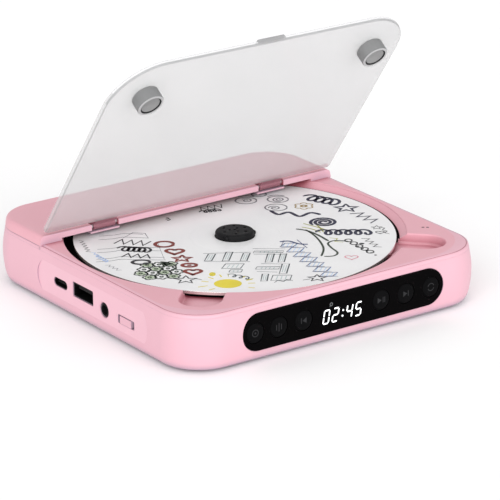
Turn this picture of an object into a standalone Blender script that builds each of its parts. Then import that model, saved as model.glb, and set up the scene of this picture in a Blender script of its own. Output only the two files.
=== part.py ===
"""Portable CD player with a hinged clear lid, modelled as separate pieces, in metres.

The origin is on the disc's axis, on the surface that the player stands on. +X is the player's
right, +Y is its back and +Z is up. The lid stands open, as it does when a disc goes in.
"""

from math import cos, pi, radians, sin

import bmesh
import bpy
from mathutils import Matrix, Vector

MM = 0.001
GAP = 0.3 * MM  # between pieces that touch

# Case
HALF_SIDE = 67.5 * MM  # the widest level of the bulged side walls
CORNER_RADIUS = 17.5 * MM
CORNER_STEPS = 7
ROUND_STEPS = 20  # sides of a small round piece
WELL_STEPS = 56  # sides of the well, the tray and the disc
UNDERSIDE = 1.0 * MM
FRONT_DECK = 22.6 * MM
REAR_DECK_FRONT = 29.8 * MM  # the step up to the rear deck
REAR_DECK_UNDERSIDE = 23.6 * MM
CAVITY_HALF = 65.2 * MM
CAVITY_FLOOR = 2.8 * MM
CASE_PROFILE = ((3.6, 1.0), (1.9, 1.8), (0.9, 4.2), (0.25, 8.0), (0.0, 12.0), (0.2, 16.0), (1.0, 20.6))
DECK_EDGE = ((1.05, 20.9), (1.2, 21.6), (1.8, 22.3), (3.1, 22.6))
REAR_EDGE = ((1.05, 20.9), (1.3, 23.4), (1.7, 24.8), (2.3, 25.5), (3.3, 25.8))

# Disc well, disc and turntable
WELL_RADIUS = 63.7 * MM
WELL_FOOT_RADIUS = 62.4 * MM  # the wall leans in towards the disc on the right side
WELL_FOOT_CENTRE = (-0.98 * MM, 0.69 * MM)
WELL_WALL_BOTTOM = 19.7 * MM
WELL_WALL = 1.2 * MM
WELL_RING_TOP = 21.5 * MM
TRAY_RADIUS = 64.6 * MM
TRAY_FLOOR = 17.2 * MM
TRAY_THICKNESS = 1.6 * MM
TRAY_RIM = 1.4 * MM
TRAY_TOP = 19.4 * MM
DISC_RADIUS = 60.0 * MM
DISC_BOTTOM = 19.8 * MM
DISC_TOP = 21.0 * MM
DISC_BORE = 7.5 * MM
BALL_RADIUS = 1.0 * MM
BALL_ORBIT = 6.9 * MM
BALL_HEIGHT = 21.95 * MM

# Finger slots in the front deck, which the lid posts drop into
SLOT_RADIUS = 7.7 * MM
SLOT_START = (40.0 * MM, -40.4 * MM)
SLOT_END = (50.0 * MM, -50.5 * MM)
SLOT_FLOOR = 18.4 * MM
SLOT_WALL = 1.3 * MM
CUP_BOTTOM = 17.0 * MM
TONGUE_LEVELS = (17.6 * MM, 18.6 * MM)  # the slot's floor where it reaches in under the disc
TONGUE_WALL = 1.2 * MM
TONGUE_REACH = 58.5 * MM
NOTCH_FLOOR = 17.3 * MM  # in the tray's rim, for the tongue

# Lid, modelled closed and turned open about its hinge
LID_OPEN = radians(54)
LID_HALF_WIDTH = 64.9 * MM
LID_FRONT = -64.4 * MM
LID_REAR = 28.2 * MM
LID_CORNER = 20.1 * MM
LID_REAR_CORNER = 1.5 * MM
LIP_HALF = (6.0 * MM, 1.3 * MM)
LIP_OVERHANG = 0.5 * MM
LIP_LEVELS = (24.2 * MM, 26.1 * MM)
LID_INNER = 24.0 * MM
LID_OUTER = 25.8 * MM
HINGE_Y = 31.4 * MM
HINGE_Z = 24.6 * MM
POCKET_X = (31.9 * MM, 43.7 * MM)
POCKET_BACK = 33.5 * MM
KNUCKLE_X = (33.0 * MM, 42.6 * MM)
KNUCKLE_RADIUS = 1.4 * MM
PIN_RADIUS = 0.7 * MM
PIN_BORE = 0.77 * MM
POST_XY = (49.5 * MM, -48.7 * MM)
MAGNET_RADIUS = 3.7 * MM
MAGNET_LEVELS = (18.9 * MM, 20.9 * MM)

# Front panel
PANEL_X = 0.8 * MM
PANEL_Z = 12.15 * MM
PANEL_HALF_LENGTH = 44.4 * MM
PANEL_RADIUS = 7.0 * MM
PANEL_BACK = -66.2 * MM
PANEL_LEDGE = 0.7 * MM  # how far the wall's ledge reaches in behind the panel's edge
LEDGE_FRONT = -65.9 * MM
BUTTON_X = tuple(x * MM for x in (-38.4, -28.2, -17.4, 17.0, 28.2, 39.6))
BUTTON_NAMES = (
    "mode_button",
    "equaliser_button",
    "previous_button",
    "play_button",
    "next_button",
    "repeat_button",
)
BUTTON_RADIUS = 3.75 * MM
BOARD_FRONT = -60.9 * MM
BOARD_THICKNESS = 1.2 * MM

# Port panel on the left side
PORT_FACE = -67.0 * MM
PORT_PANEL_Y = (-42.6 * MM, 30.5 * MM)
PORT_PANEL_Z = 11.9 * MM
PORT_PANEL_RADIUS = 7.5 * MM
PORT_WALL = (-70.0 * MM, -64.0 * MM)  # past the wall's outer and inner faces
USB_C = (15.3 * MM, 12.2 * MM)  # each socket's middle, as Y and Z
USB_C_HALF_PITCH = 2.9 * MM
USB_C_OPENING = 1.65 * MM
USB_C_SHELL = 1.5 * MM
USB_A = (0.1 * MM, 12.8 * MM)
USB_A_OPENING = (6.8 * MM, 2.85 * MM)
USB_A_SHELL = (6.4 * MM, 2.5 * MM)
JACK = (-13.9 * MM, 10.8 * MM)
JACK_OPENING = 2.8 * MM
JACK_NOSE = 2.4 * MM
JACK_BORE = 1.8 * MM
SWITCH = (-28.3 * MM, 10.65 * MM)
SWITCH_SLOT = (10.5 * MM, 3.2 * MM)
KNOB = (7.2 * MM, 2.8 * MM)
KNOB_PROUD = 0.3 * MM

# Inside
MAIN_BOARD_TOP = 8.0 * MM
MAIN_BOARD_THICKNESS = 1.2 * MM
CHASSIS_BOTTOM = 12.6 * MM
CHASSIS_TOP = 13.8 * MM
ROD_Y = 12.5 * MM
ROD_Z = 11.0 * MM
ROD_RADIUS = 1.0 * MM
SCREW_Y = 19.0 * MM
SCREW_Z = 9.5 * MM
SLED_X = (13.5 * MM, 27.7 * MM)
LENS_X = 23.5 * MM
DAMPER_XY = ((-18 * MM, -18 * MM), (-18 * MM, 18 * MM), (50 * MM, -19 * MM))
SPEAKER_XY = (38 * MM, -43 * MM)
FOOT_XY = (47 * MM, 56.5 * MM)
FOOT_RADIUS = 5 * MM
BOSS_XY = (56 * MM, 56 * MM)
BOSS_RADIUS = 2.8 * MM
PILOT_RADIUS = 1.45 * MM
INDICATOR_XY = ((58.9 * MM, -37.9 * MM), (60.3 * MM, -38.9 * MM))

SIDES = (("left", -1), ("right", 1))


# ---------------------------------------------------------------- shape helpers


def clear_scene():
    for obj in list(bpy.data.objects):
        bpy.data.objects.remove(obj)


def material(name, colour, roughness=0.5, metallic=0.0, alpha=1.0):
    """A Principled BSDF material, made once for each name."""
    if name in bpy.data.materials:
        return bpy.data.materials[name]
    made = bpy.data.materials.new(name)
    made.use_nodes = True
    shader = made.node_tree.nodes["Principled BSDF"]
    shader.inputs["Base Color"].default_value = (*colour, 1.0)
    shader.inputs["Roughness"].default_value = roughness
    shader.inputs["Metallic"].default_value = metallic
    shader.inputs["Alpha"].default_value = alpha
    return made


def pink_plastic():
    return material("pink_plastic", (0.87, 0.45, 0.52), 0.4)


def clear_acrylic():
    return material("clear_acrylic", (0.9, 0.91, 0.92), 0.08, alpha=0.3)


def black_plastic():
    return material("black_plastic", (0.012, 0.012, 0.013), 0.45)


def gloss_black():
    return material("gloss_black", (0.006, 0.006, 0.007), 0.12)


def steel():
    return material("steel", (0.6, 0.61, 0.63), 0.3, 1.0)


def board_green():
    return material("board_green", (0.02, 0.12, 0.06), 0.4)


def black_rubber():
    return material("black_rubber", (0.02, 0.02, 0.02), 0.85)


def new_object(name, mesh_data, finish=None):
    obj = bpy.data.objects.new(name, mesh_data)
    bpy.context.scene.collection.objects.link(obj)
    if finish:
        obj.data.materials.append(finish)
    return obj


def object_from_bmesh(name, shape, finish=None):
    bmesh.ops.recalc_face_normals(shape, faces=shape.faces)
    mesh_data = bpy.data.meshes.new(name)
    shape.to_mesh(mesh_data)
    shape.free()
    return new_object(name, mesh_data, finish)


def loft(name, rings, finish=None):
    """A closed solid through rings of 3-D points, all with the same number of points."""
    shape = bmesh.new()
    loops = [[shape.verts.new(point) for point in ring] for ring in rings]
    count = len(loops[0])
    for lower, upper in zip(loops, loops[1:]):
        for i in range(count):
            j = (i + 1) % count
            shape.faces.new((lower[i], lower[j], upper[j], upper[i]))
    shape.faces.new(loops[0])
    shape.faces.new(loops[-1])
    return object_from_bmesh(name, shape, finish)


def along(axis, u, v, w):
    """The point with u and v across the axis and w along it."""
    return {"X": (w, u, v), "Y": (u, w, v), "Z": (u, v, w)}[axis]


def prism(name, outline, low, high, axis="Z", finish=None):
    """An outline of (u, v) points made solid between two levels of an axis."""
    return loft(name, [[along(axis, u, v, w) for u, v in outline] for w in (low, high)], finish)


def circle(radius, centre=(0, 0), steps=ROUND_STEPS):
    turns = (2 * pi * i / steps for i in range(steps))
    return [(centre[0] + radius * cos(t), centre[1] + radius * sin(t)) for t in turns]


def rectangle(low_u, high_u, low_v, high_v):
    return [(low_u, low_v), (high_u, low_v), (high_u, high_v), (low_u, high_v)]


def capsule(start, end, radius, steps=10):
    """The outline of a slot with round ends, from one end's centre to the other's."""
    run = Vector(end) - Vector(start)
    heading = Vector((1, 0)).angle_signed(run) if run.length else 0.0
    points = []
    for centre, base in ((end, -pi / 2), (start, pi / 2)):
        for i in range(steps + 1):
            turn = base - heading + pi * i / steps
            points.append((centre[0] + radius * cos(turn), centre[1] + radius * sin(turn)))
    return points


def rounded_rectangle(half_u, half_v, radius, centre=(0, 0), steps=CORNER_STEPS):
    """A rectangle with round corners, as (u, v) points anticlockwise."""
    points = []
    corners = ((1, 1), (-1, 1), (-1, -1), (1, -1))
    for quarter, (side_u, side_v) in enumerate(corners):
        for i in range(steps + 1):
            turn = pi / 2 * (quarter + i / steps)
            u = side_u * (half_u - radius) + radius * cos(turn)
            v = side_v * (half_v - radius) + radius * sin(turn)
            points.append((centre[0] + u, centre[1] + v))
    return points


def case_ring(inset, height):
    """The case's outline at a height, drawn in from its widest level by the inset."""
    outline = rounded_rectangle(HALF_SIDE - inset, HALF_SIDE - inset, CORNER_RADIUS - inset)
    return [(x, y, height) for x, y in outline]


def bulged_solid(name, profile, finish=None):
    return loft(name, [case_ring(inset * MM, height * MM) for inset, height in profile], finish)


def turned(name, profile, steps=ROUND_STEPS, finish=None):
    """A solid of revolution about Z from (radius, height) points, bottom to top."""
    rings = []
    for radius, height in profile:
        rings.append([(x, y, height) for x, y in circle(radius, steps=steps)])
    return loft(name, rings, finish)


def cylinder(name, radius, low, high, centre=(0, 0), axis="Z", steps=ROUND_STEPS, finish=None):
    return prism(name, circle(radius, centre, steps), low, high, axis, finish)


def combine(target, tool, operation):
    """Joins the tool to the target or cuts it away, and removes the tool."""
    step = target.modifiers.new(operation.lower(), "BOOLEAN")
    step.operation = operation
    step.solver = "EXACT"
    step.object = tool
    graph = bpy.context.evaluated_depsgraph_get()
    result = bpy.data.meshes.new_from_object(target.evaluated_get(graph))
    target.modifiers.clear()
    target.data = result
    bpy.data.objects.remove(tool)
    return target


def cut(target, *tools):
    for tool in tools:
        combine(target, tool, "DIFFERENCE")
    return target


def join(target, *tools):
    for tool in tools:
        combine(target, tool, "UNION")
    return target


def merged(name, pieces):
    """Separate shapes put into one object, to cut many holes at once."""
    shape = bmesh.new()
    for piece in pieces:
        shape.from_mesh(piece.data)
        bpy.data.objects.remove(piece)
    return object_from_bmesh(name, shape)


def set_origin(obj, point):
    """Moves the origin to a point while the shape stays where it is."""
    obj.data.transform(Matrix.Translation(-Vector(point)))
    obj.location = Vector(point)
    return obj


def smooth(obj, angle=35):
    obj.data.shade_smooth()
    obj.data.set_sharp_from_angle(angle=radians(angle))
    return obj


def four_corners(xy):
    return [(side_x * xy[0], side_y * xy[1]) for side_x in (-1, 1) for side_y in (-1, 1)]


# ---------------------------------------------------------------- case


def panel_outline(grow=0.0):
    """The front panel's outline in X and Z."""
    reach = PANEL_HALF_LENGTH - PANEL_RADIUS
    return capsule((PANEL_X - reach, PANEL_Z), (PANEL_X + reach, PANEL_Z), PANEL_RADIUS + grow)


def grille_holes(side):
    """Sound holes under one speaker, in a middle hole and two rings."""
    centre_x, centre_y = side * SPEAKER_XY[0], SPEAKER_XY[1]
    holes = []
    for count, ring in ((1, 0.0), (4, 3.4 * MM), (8, 6.8 * MM)):
        for i in range(count):
            turn = 2 * pi * i / count
            centre = (centre_x + ring * cos(turn), centre_y + ring * sin(turn))
            holes.append(cylinder("hole", 1.0 * MM, 0, 4 * MM, centre, steps=6))
    return holes


def case_posts():
    """Posts on the floor: (x, y, radius, top) for the boards, the tray and the dampers."""
    posts = [(x, y, BOSS_RADIUS, 11.7 * MM) for x, y in four_corners(BOSS_XY)]
    posts += [(side * 20 * MM, -52 * MM, 2 * MM, 15.3 * MM) for side in (-1, 1)]
    posts += [(side * 44 * MM, 46 * MM, 2 * MM, 15.3 * MM) for side in (-1, 1)]
    posts += [(x, y, 2.2 * MM, 9 * MM) for x, y in DAMPER_XY]
    board_posts = ((-58, 25), (-58, -8), (-33, 20))
    board_rest = MAIN_BOARD_TOP - MAIN_BOARD_THICKNESS - GAP
    posts += [(x * MM, y * MM, 1.8 * MM, board_rest) for x, y in board_posts]
    return posts


def port_cuts():
    """Everything cut through the left wall: the flat panel and the openings in it."""
    flat = capsule(
        (PORT_PANEL_Y[0] + PORT_PANEL_RADIUS, PORT_PANEL_Z),
        (PORT_PANEL_Y[1] - PORT_PANEL_RADIUS, PORT_PANEL_Z),
        PORT_PANEL_RADIUS,
    )
    usb_a = rounded_rectangle(*USB_A_OPENING, 0.5 * MM, USB_A, 3)
    slot = rounded_rectangle(SWITCH_SLOT[0] / 2, SWITCH_SLOT[1] / 2, 0.4 * MM, SWITCH, 3)
    return [
        prism("flat", flat, PORT_WALL[0], PORT_FACE, "X"),
        prism("usb_c", usb_c_outline(USB_C_OPENING), *PORT_WALL, "X"),
        prism("usb_a", usb_a, *PORT_WALL, "X"),
        cylinder("jack", JACK_OPENING, *PORT_WALL, JACK, "X", 16),
        prism("slot", slot, *PORT_WALL, "X"),
    ]


def bottom_case():
    case = bulged_solid("bottom_case", CASE_PROFILE, pink_plastic())
    inside = rounded_rectangle(CAVITY_HALF, CAVITY_HALF, CORNER_RADIUS - HALF_SIDE + CAVITY_HALF)
    cut(case, prism("inside", inside, CAVITY_FLOOR, 30 * MM))
    posts = [
        cylinder("post", radius, UNDERSIDE + 1.2 * MM, top, (x, y), steps=10)
        for x, y, radius, top in case_posts()
    ]
    join(case, merged("posts", posts))
    recesses = [
        cylinder("recess", FOOT_RADIUS + 0.25 * MM, 0, UNDERSIDE + 0.8 * MM, xy, steps=16)
        for xy in four_corners(FOOT_XY)
    ]
    for xy in four_corners(BOSS_XY):
        recesses.append(turned_hole(xy))
    recesses += grille_holes(-1) + grille_holes(1)
    cut(case, merged("recesses", recesses))
    cut(case, prism("panel_seat", panel_outline(GAP), -70 * MM, LEDGE_FRONT, "Y"))
    cut(case, prism("panel_hole", panel_outline(-PANEL_LEDGE), -70 * MM, -60 * MM, "Y"))
    cut(case, *port_cuts())
    return smooth(case)


def turned_hole(xy):
    """A screw's clearance hole with its head's counterbore, open below."""
    profile = ((2.7, 0), (2.7, 3.4), (1.5, 3.4), (1.5, 14))
    hole = turned("hole", [(r * MM, z * MM) for r, z in profile], 12)
    hole.data.transform(Matrix.Translation((*xy, 0)))
    return hole


def slot_outline(side, grow=0.0):
    """A finger slot's outline, from inside the well to its round end."""
    start, end = ((side * x, y) for x, y in (SLOT_START, SLOT_END))
    return capsule(start, end, SLOT_RADIUS + grow)


def top_cover():
    cover = bulged_solid("top_cover", DECK_EDGE, pink_plastic())
    rear = bulged_solid("rear", REAR_EDGE)
    front_half = rectangle(-80 * MM, 80 * MM, -80 * MM, REAR_DECK_FRONT)
    cut(rear, prism("front_half", front_half, 0, 40 * MM))
    join(cover, rear)
    ring_radius = WELL_RADIUS + WELL_WALL
    join(cover, cylinder("ring", ring_radius, WELL_WALL_BOTTOM, WELL_RING_TOP, steps=WELL_STEPS))
    for side in (-1, 1):
        join(cover, prism("cup", slot_outline(side, SLOT_WALL), CUP_BOTTOM, WELL_RING_TOP))
    clearance = TRAY_RADIUS + 0.4 * MM
    cut(cover, cylinder("tray_space", clearance, 10 * MM, WELL_WALL_BOTTOM, steps=WELL_STEPS))
    join(cover, merged("bosses", [cover_boss(x, y) for x, y in four_corners(BOSS_XY)]))
    pilots = [
        cylinder("pilot", PILOT_RADIUS, 11 * MM, 16.4 * MM, xy, steps=12) for xy in four_corners(BOSS_XY)
    ]
    cut(cover, merged("pilots", pilots))
    cut(cover, well_space())
    for side in (-1, 1):
        join(cover, slot_tongue(side))
        cut(cover, prism("slot", slot_outline(side), SLOT_FLOOR, 40 * MM))
        cut(cover, hinge_pocket(side))
        cut(cover, hinge_bore(side))
    lights = [cylinder("light", 0.65 * MM, 15 * MM, 30 * MM, xy, steps=8) for xy in INDICATOR_XY]
    cut(cover, merged("lights", lights))
    return smooth(cover)


def well_space():
    """The disc's space: round at the deck, drawn in and to the left at the wall's foot."""
    foot = circle(WELL_FOOT_RADIUS, WELL_FOOT_CENTRE, WELL_STEPS)
    mouth = circle(WELL_RADIUS, steps=WELL_STEPS)
    levels = (
        (foot, 5 * MM),
        (foot, WELL_WALL_BOTTOM),
        (mouth, FRONT_DECK + 0.1 * MM),
        (mouth, REAR_DECK_UNDERSIDE),
    )
    return loft("well", [[(x, y, height) for x, y in outline] for outline, height in levels])


def slot_tongue(side):
    """The part of a finger slot's floor that reaches in under the disc's edge."""
    tongue = prism("tongue", slot_outline(side, TONGUE_WALL), *TONGUE_LEVELS)
    return cut(tongue, cylinder("reach", TONGUE_REACH, 10 * MM, 30 * MM, steps=WELL_STEPS))


def cover_boss(x, y):
    """A screw's boss under the deck; the front ones end under the finger slots."""
    top = SLOT_FLOOR - 0.6 * MM if y < 0 else WELL_RING_TOP
    return cylinder("boss", BOSS_RADIUS, 12 * MM, top, (x, y), steps=12)


def hinge_pocket(side):
    low_x, high_x = sorted(side * x for x in POCKET_X)
    outline = rectangle(low_x, high_x, REAR_DECK_FRONT - 3 * MM, POCKET_BACK)
    return prism("pocket", outline, REAR_DECK_UNDERSIDE - 1 * MM, 40 * MM)


def hinge_bore(side):
    low_x, high_x = sorted(side * x for x in (POCKET_X[0] - 2 * MM, POCKET_X[1] + 2 * MM))
    return cylinder("bore", PIN_BORE, low_x, high_x, (HINGE_Y, HINGE_Z), "X", 16)


def disc_tray():
    """The black pan that the disc turns over, with openings for the spindle and the lens."""
    outline = circle(TRAY_RADIUS, steps=WELL_STEPS)
    tray = prism("disc_tray", outline, TRAY_FLOOR - TRAY_THICKNESS, TRAY_TOP, finish=black_plastic())
    cut(tray, cylinder("pan", TRAY_RADIUS - TRAY_RIM, TRAY_FLOOR, 30 * MM, steps=WELL_STEPS))
    for side in (-1, 1):
        cut(tray, prism("notch", slot_outline(side, SLOT_WALL + GAP), NOTCH_FLOOR, 30 * MM))
    cut(tray, cylinder("spindle_hole", 6.4 * MM, 10 * MM, 30 * MM))
    lens_window = rounded_rectangle(23.5 * MM, 7 * MM, 2 * MM, (38.5 * MM, 0), 4)
    cut(tray, prism("lens_window", lens_window, 10 * MM, 30 * MM))
    return smooth(tray)


def rubber_foot(index, xy):
    foot = turned(
        f"rubber_foot_{index}",
        [(4.4 * MM, 0), (5.0 * MM, 0.5 * MM), (5.0 * MM, UNDERSIDE + 0.5 * MM)],
        16,
        black_rubber(),
    )
    foot.location = (*xy, 0)
    return smooth(foot)


def case_screw(index, xy):
    profile = ((2.0, 1.5), (2.4, 2.0), (2.4, 3.1), (1.2, 3.1), (1.2, 15.6), (0.6, 16.1))
    screw = turned(f"case_screw_{index}", [(r * MM, z * MM) for r, z in profile], 10, steel())
    cross = [
        prism("arm", rectangle(-1.2 * MM, 1.2 * MM, -0.3 * MM, 0.3 * MM), 1.0 * MM, 2.3 * MM),
        prism("arm", rectangle(-0.3 * MM, 0.3 * MM, -1.2 * MM, 1.2 * MM), 1.0 * MM, 2.3 * MM),
    ]
    cut(screw, *cross)
    screw.location = (*xy, 0)
    return smooth(screw)


def indicator_light():
    """Two light pins in the front deck, joined by a bar under it."""
    (x1, y1), (x2, y2) = INDICATOR_XY
    bar = prism(
        "indicator_light",
        capsule((x1, y1), (x2, y2), 1.1 * MM, 6),
        19.2 * MM,
        20.5 * MM,
        finish=material("light_pipe", (0.85, 0.85, 0.83), 0.3, alpha=0.8),
    )
    for xy in INDICATOR_XY:
        join(bar, cylinder("pin", 0.4 * MM, 20 * MM, FRONT_DECK, xy, steps=8))
    return bar


# ---------------------------------------------------------------- lid


def hinge_axis():
    """The empty that the lid's pieces turn with."""
    axis = bpy.data.objects.new("lid_hinge_axis", None)
    bpy.context.scene.collection.objects.link(axis)
    axis.location = (0, HINGE_Y, HINGE_Z)
    axis.rotation_euler = (-LID_OPEN, 0, 0)
    return axis


def hang_on(axis, obj):
    """Parents a piece that was modelled with the lid closed to the hinge's axis."""
    set_origin(obj, (0, HINGE_Y, HINGE_Z))
    obj.parent = axis
    obj.location = (0, 0, 0)
    return obj


def lid_outline():
    """The lid's outline in X and Y: large front corners, small rear ones."""
    points = []
    corners = (
        ((LID_HALF_WIDTH, LID_FRONT), LID_CORNER, -pi / 2),
        ((LID_HALF_WIDTH, LID_REAR), LID_REAR_CORNER, 0),
        ((-LID_HALF_WIDTH, LID_REAR), LID_REAR_CORNER, pi / 2),
        ((-LID_HALF_WIDTH, LID_FRONT), LID_CORNER, pi),
    )
    for (x, y), radius, start in corners:
        centre_x = x - radius if x > 0 else x + radius
        centre_y = y - radius if y > 0 else y + radius
        steps = 10 if radius == LID_CORNER else 2
        for i in range(steps + 1):
            turn = start + pi / 2 * i / steps
            points.append((centre_x + radius * cos(turn), centre_y + radius * sin(turn)))
    return points


def lid():
    """The clear sheet with its two hinge knuckles and its finger lip."""
    sheet = prism("lid", lid_outline(), LID_INNER, LID_OUTER, finish=clear_acrylic())
    lip_y = LID_FRONT - LIP_OVERHANG + LIP_HALF[1]
    join(sheet, prism("lip", rounded_rectangle(*LIP_HALF, 0.6 * MM, (0, lip_y), 3), *LIP_LEVELS))
    for side in (-1, 1):
        low_x, high_x = sorted(side * x for x in KNUCKLE_X)
        tab = rectangle(low_x, high_x, LID_REAR - 2 * MM, HINGE_Y)
        join(sheet, prism("tab", tab, LID_INNER + 0.1 * MM, LID_INNER + 1.4 * MM))
        join(sheet, cylinder("knuckle", KNUCKLE_RADIUS, low_x, high_x, (HINGE_Y, HINGE_Z), "X", 16))
        bore = (low_x - 1 * MM, high_x + 1 * MM)
        cut(sheet, cylinder("bore", PIN_BORE, *bore, (HINGE_Y, HINGE_Z), "X", 16))
    return smooth(sheet)


def hinge_pin(label, side):
    low_x, high_x = sorted(side * x for x in (POCKET_X[0] - 1.6 * MM, POCKET_X[1] + 1.6 * MM))
    pin = cylinder(f"hinge_pin_{label}", PIN_RADIUS, low_x, high_x, (HINGE_Y, HINGE_Z), "X", 16, steel())
    return smooth(set_origin(pin, (side * 37.8 * MM, HINGE_Y, HINGE_Z)))


def lid_post(label, side):
    """A round post on the lid's inner face, hollow below for its magnet."""
    profile = ((4.8, 18.6), (5.2, 19.0), (5.2, 23.4), (4.9, 23.7))
    grey = material("grey_plastic", (0.30, 0.31, 0.32), 0.45)
    post = turned(f"lid_post_{label}", [(r * MM, z * MM) for r, z in profile], finish=grey)
    cut(post, cylinder("seat", MAGNET_RADIUS + 0.25 * MM, 10 * MM, 21.2 * MM))
    post.data.transform(Matrix.Translation((side * POST_XY[0], POST_XY[1], 0)))
    return smooth(post)


def lid_magnet(label, side):
    centre = (side * POST_XY[0], POST_XY[1])
    finish = material("magnet_plating", (0.62, 0.63, 0.64), 0.35, 0.8)
    return smooth(cylinder(f"lid_magnet_{label}", MAGNET_RADIUS, *MAGNET_LEVELS, centre, finish=finish))


def keeper_plate(label, side):
    """The steel disc under a slot's floor, which the lid's magnet pulls on."""
    plate = cylinder(f"keeper_plate_{label}", 4.2 * MM, 15.4 * MM, 16.7 * MM, finish=steel())
    plate.location = (side * POST_XY[0], POST_XY[1], 0)
    return plate


# ---------------------------------------------------------------- front panel


def front_panel():
    """The black window, seated on the wall's ledge, with its six button holes."""
    panel = prism("front_panel", panel_outline(), -HALF_SIDE, PANEL_BACK, "Y", gloss_black())
    holes = [
        cylinder("hole", BUTTON_RADIUS + 0.2 * MM, -70 * MM, -60 * MM, (x, PANEL_Z), "Y")
        for x in BUTTON_X
    ]
    cut(panel, merged("holes", holes))
    return smooth(panel)


def front_button(name, x):
    """A round cap with a collar behind the panel and a stem towards its switch."""
    profile = ((3.55, 0), (3.75, 0.2), (3.75, 1.6), (4.2, 1.6), (4.2, 2.2), (1.2, 2.2), (1.2, 5.6))
    button = turned(name, [(r * MM, depth * MM) for r, depth in profile], finish=gloss_black())
    button.data.transform(Matrix.Rotation(-pi / 2, 4, "X"))
    button.location = (x, -HALF_SIDE, PANEL_Z)
    return smooth(button)


def display_board():
    """The circuit board behind the panel, with a push switch for each button."""
    outline = rectangle(-46 * MM, 46 * MM, CAVITY_FLOOR + GAP, 15.2 * MM)
    board = prism("display_board", outline, BOARD_FRONT, BOARD_FRONT + BOARD_THICKNESS, "Y", board_green())
    for x in BUTTON_X:
        switch = rectangle(x - 2 * MM, x + 2 * MM, PANEL_Z - 2 * MM, PANEL_Z + 2 * MM)
        join(board, prism("switch", switch, BOARD_FRONT - 0.4 * MM, BOARD_FRONT + 0.5 * MM, "Y"))
    return board


def clock_display():
    outline = rectangle(-12.5 * MM, 12.5 * MM, PANEL_Z - 5 * MM, PANEL_Z + 3 * MM)
    finish = material("display_module", (0.03, 0.03, 0.035), 0.3)
    return prism("clock_display", outline, LEDGE_FRONT, BOARD_FRONT - GAP, "Y", finish)


# ---------------------------------------------------------------- left side


def box_at(centre, half_y, low_z, high_z):
    """A rectangle in Y and Z, given its reach to each side and its levels from the centre."""
    return rectangle(centre[0] - half_y, centre[0] + half_y, centre[1] + low_z, centre[1] + high_z)


def board_foot(centre, half_y, high_z):
    """The rectangle of a socket's foot, from the main board up to a level from the centre."""
    return box_at(centre, half_y, MAIN_BOARD_TOP + GAP - centre[1], high_z)


def usb_c_outline(radius):
    y, z = USB_C
    return capsule((y - USB_C_HALF_PITCH, z), (y + USB_C_HALF_PITCH, z), radius, 8)


def usb_c_port():
    """A USB-C socket: a flat round shell, a tongue inside and a foot on the board."""
    shell = prism("usb_c_port", usb_c_outline(USB_C_SHELL), -66.7 * MM, -59.5 * MM, "X", steel())
    cut(shell, prism("mouth", usb_c_outline(USB_C_SHELL - GAP), -70 * MM, -60.5 * MM, "X"))
    tongue = box_at(USB_C, 3.3 * MM, -0.35 * MM, 0.35 * MM)
    join(shell, prism("tongue", tongue, -66 * MM, -60 * MM, "X"))
    join(shell, prism("foot", board_foot(USB_C, 4 * MM, -1.3 * MM), -64.5 * MM, -59.5 * MM, "X"))
    return smooth(shell)


def usb_a_port():
    """A USB-A socket: a thin rectangular shell with its contact tongue inside."""
    half_y, half_z = USB_A_SHELL
    shell = prism("usb_a_port", box_at(USB_A, half_y, -half_z, half_z), -66.7 * MM, -53 * MM, "X", steel())
    mouth = box_at(USB_A, half_y - GAP, GAP - half_z, half_z - GAP)
    cut(shell, prism("mouth", mouth, -70 * MM, -54 * MM, "X"))
    tongue = box_at(USB_A, 5 * MM, 0.3 * MM, 1.6 * MM)
    join(shell, prism("tongue", tongue, -65.5 * MM, -53.5 * MM, "X"))
    foot = board_foot(USB_A, 5.5 * MM, 0.1 * MM - half_z)
    return join(shell, prism("foot", foot, -64.5 * MM, -53 * MM, "X"))


def headphone_jack():
    """A 3.5 mm socket: a round nose in the wall and a block on the board."""
    nose = cylinder("headphone_jack", JACK_NOSE, -66.7 * MM, -64 * MM, JACK, "X", 16, black_plastic())
    join(nose, prism("block", board_foot(JACK, 3 * MM, 2.6 * MM), -64.8 * MM, -53 * MM, "X"))
    cut(nose, cylinder("bore", JACK_BORE, -70 * MM, -55 * MM, JACK, "X", 16))
    return smooth(nose)


def slide_switch():
    """The body of the slide switch, with a channel for the knob's stem."""
    outline = board_foot(SWITCH, 5.6 * MM, 2.4 * MM)
    body = prism("slide_switch", outline, -64.8 * MM, -60.5 * MM, "X", steel())
    channel = box_at(SWITCH, 3.4 * MM, -1 * MM, 1 * MM)
    return cut(body, prism("channel", channel, -66 * MM, -61.5 * MM, "X"))


def switch_knob():
    """The knob that slides in the wall's slot, with its stem in the switch."""
    outline = rounded_rectangle(KNOB[0] / 2, KNOB[1] / 2, 0.3 * MM, SWITCH, 2)
    knob = prism("switch_knob", outline, PORT_FACE - KNOB_PROUD, -65.3 * MM, "X", pink_plastic())
    stem = box_at(SWITCH, 1.6 * MM, -0.7 * MM, 0.7 * MM)
    join(knob, prism("stem", stem, -65.8 * MM, -62 * MM, "X"))
    return set_origin(knob, (PORT_FACE, *SWITCH))


def main_board():
    outline = rectangle(-64.8 * MM, -29 * MM, -34 * MM, 28 * MM)
    underside = MAIN_BOARD_TOP - MAIN_BOARD_THICKNESS
    board = prism("main_board", outline, underside, MAIN_BOARD_TOP, finish=board_green())
    chips = ((-45, 18, 5, 5, 1.2), (-42, -2, 3.5, 3.5, 1.0), (-44, -20, 4, 3, 1.4))
    for x, y, half_x, half_y, height in chips:
        chip = rectangle((x - half_x) * MM, (x + half_x) * MM, (y - half_y) * MM, (y + half_y) * MM)
        join(board, prism("chip", chip, MAIN_BOARD_TOP - 0.5 * MM, MAIN_BOARD_TOP + height * MM))
    return board


# ---------------------------------------------------------------- inside


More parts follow.
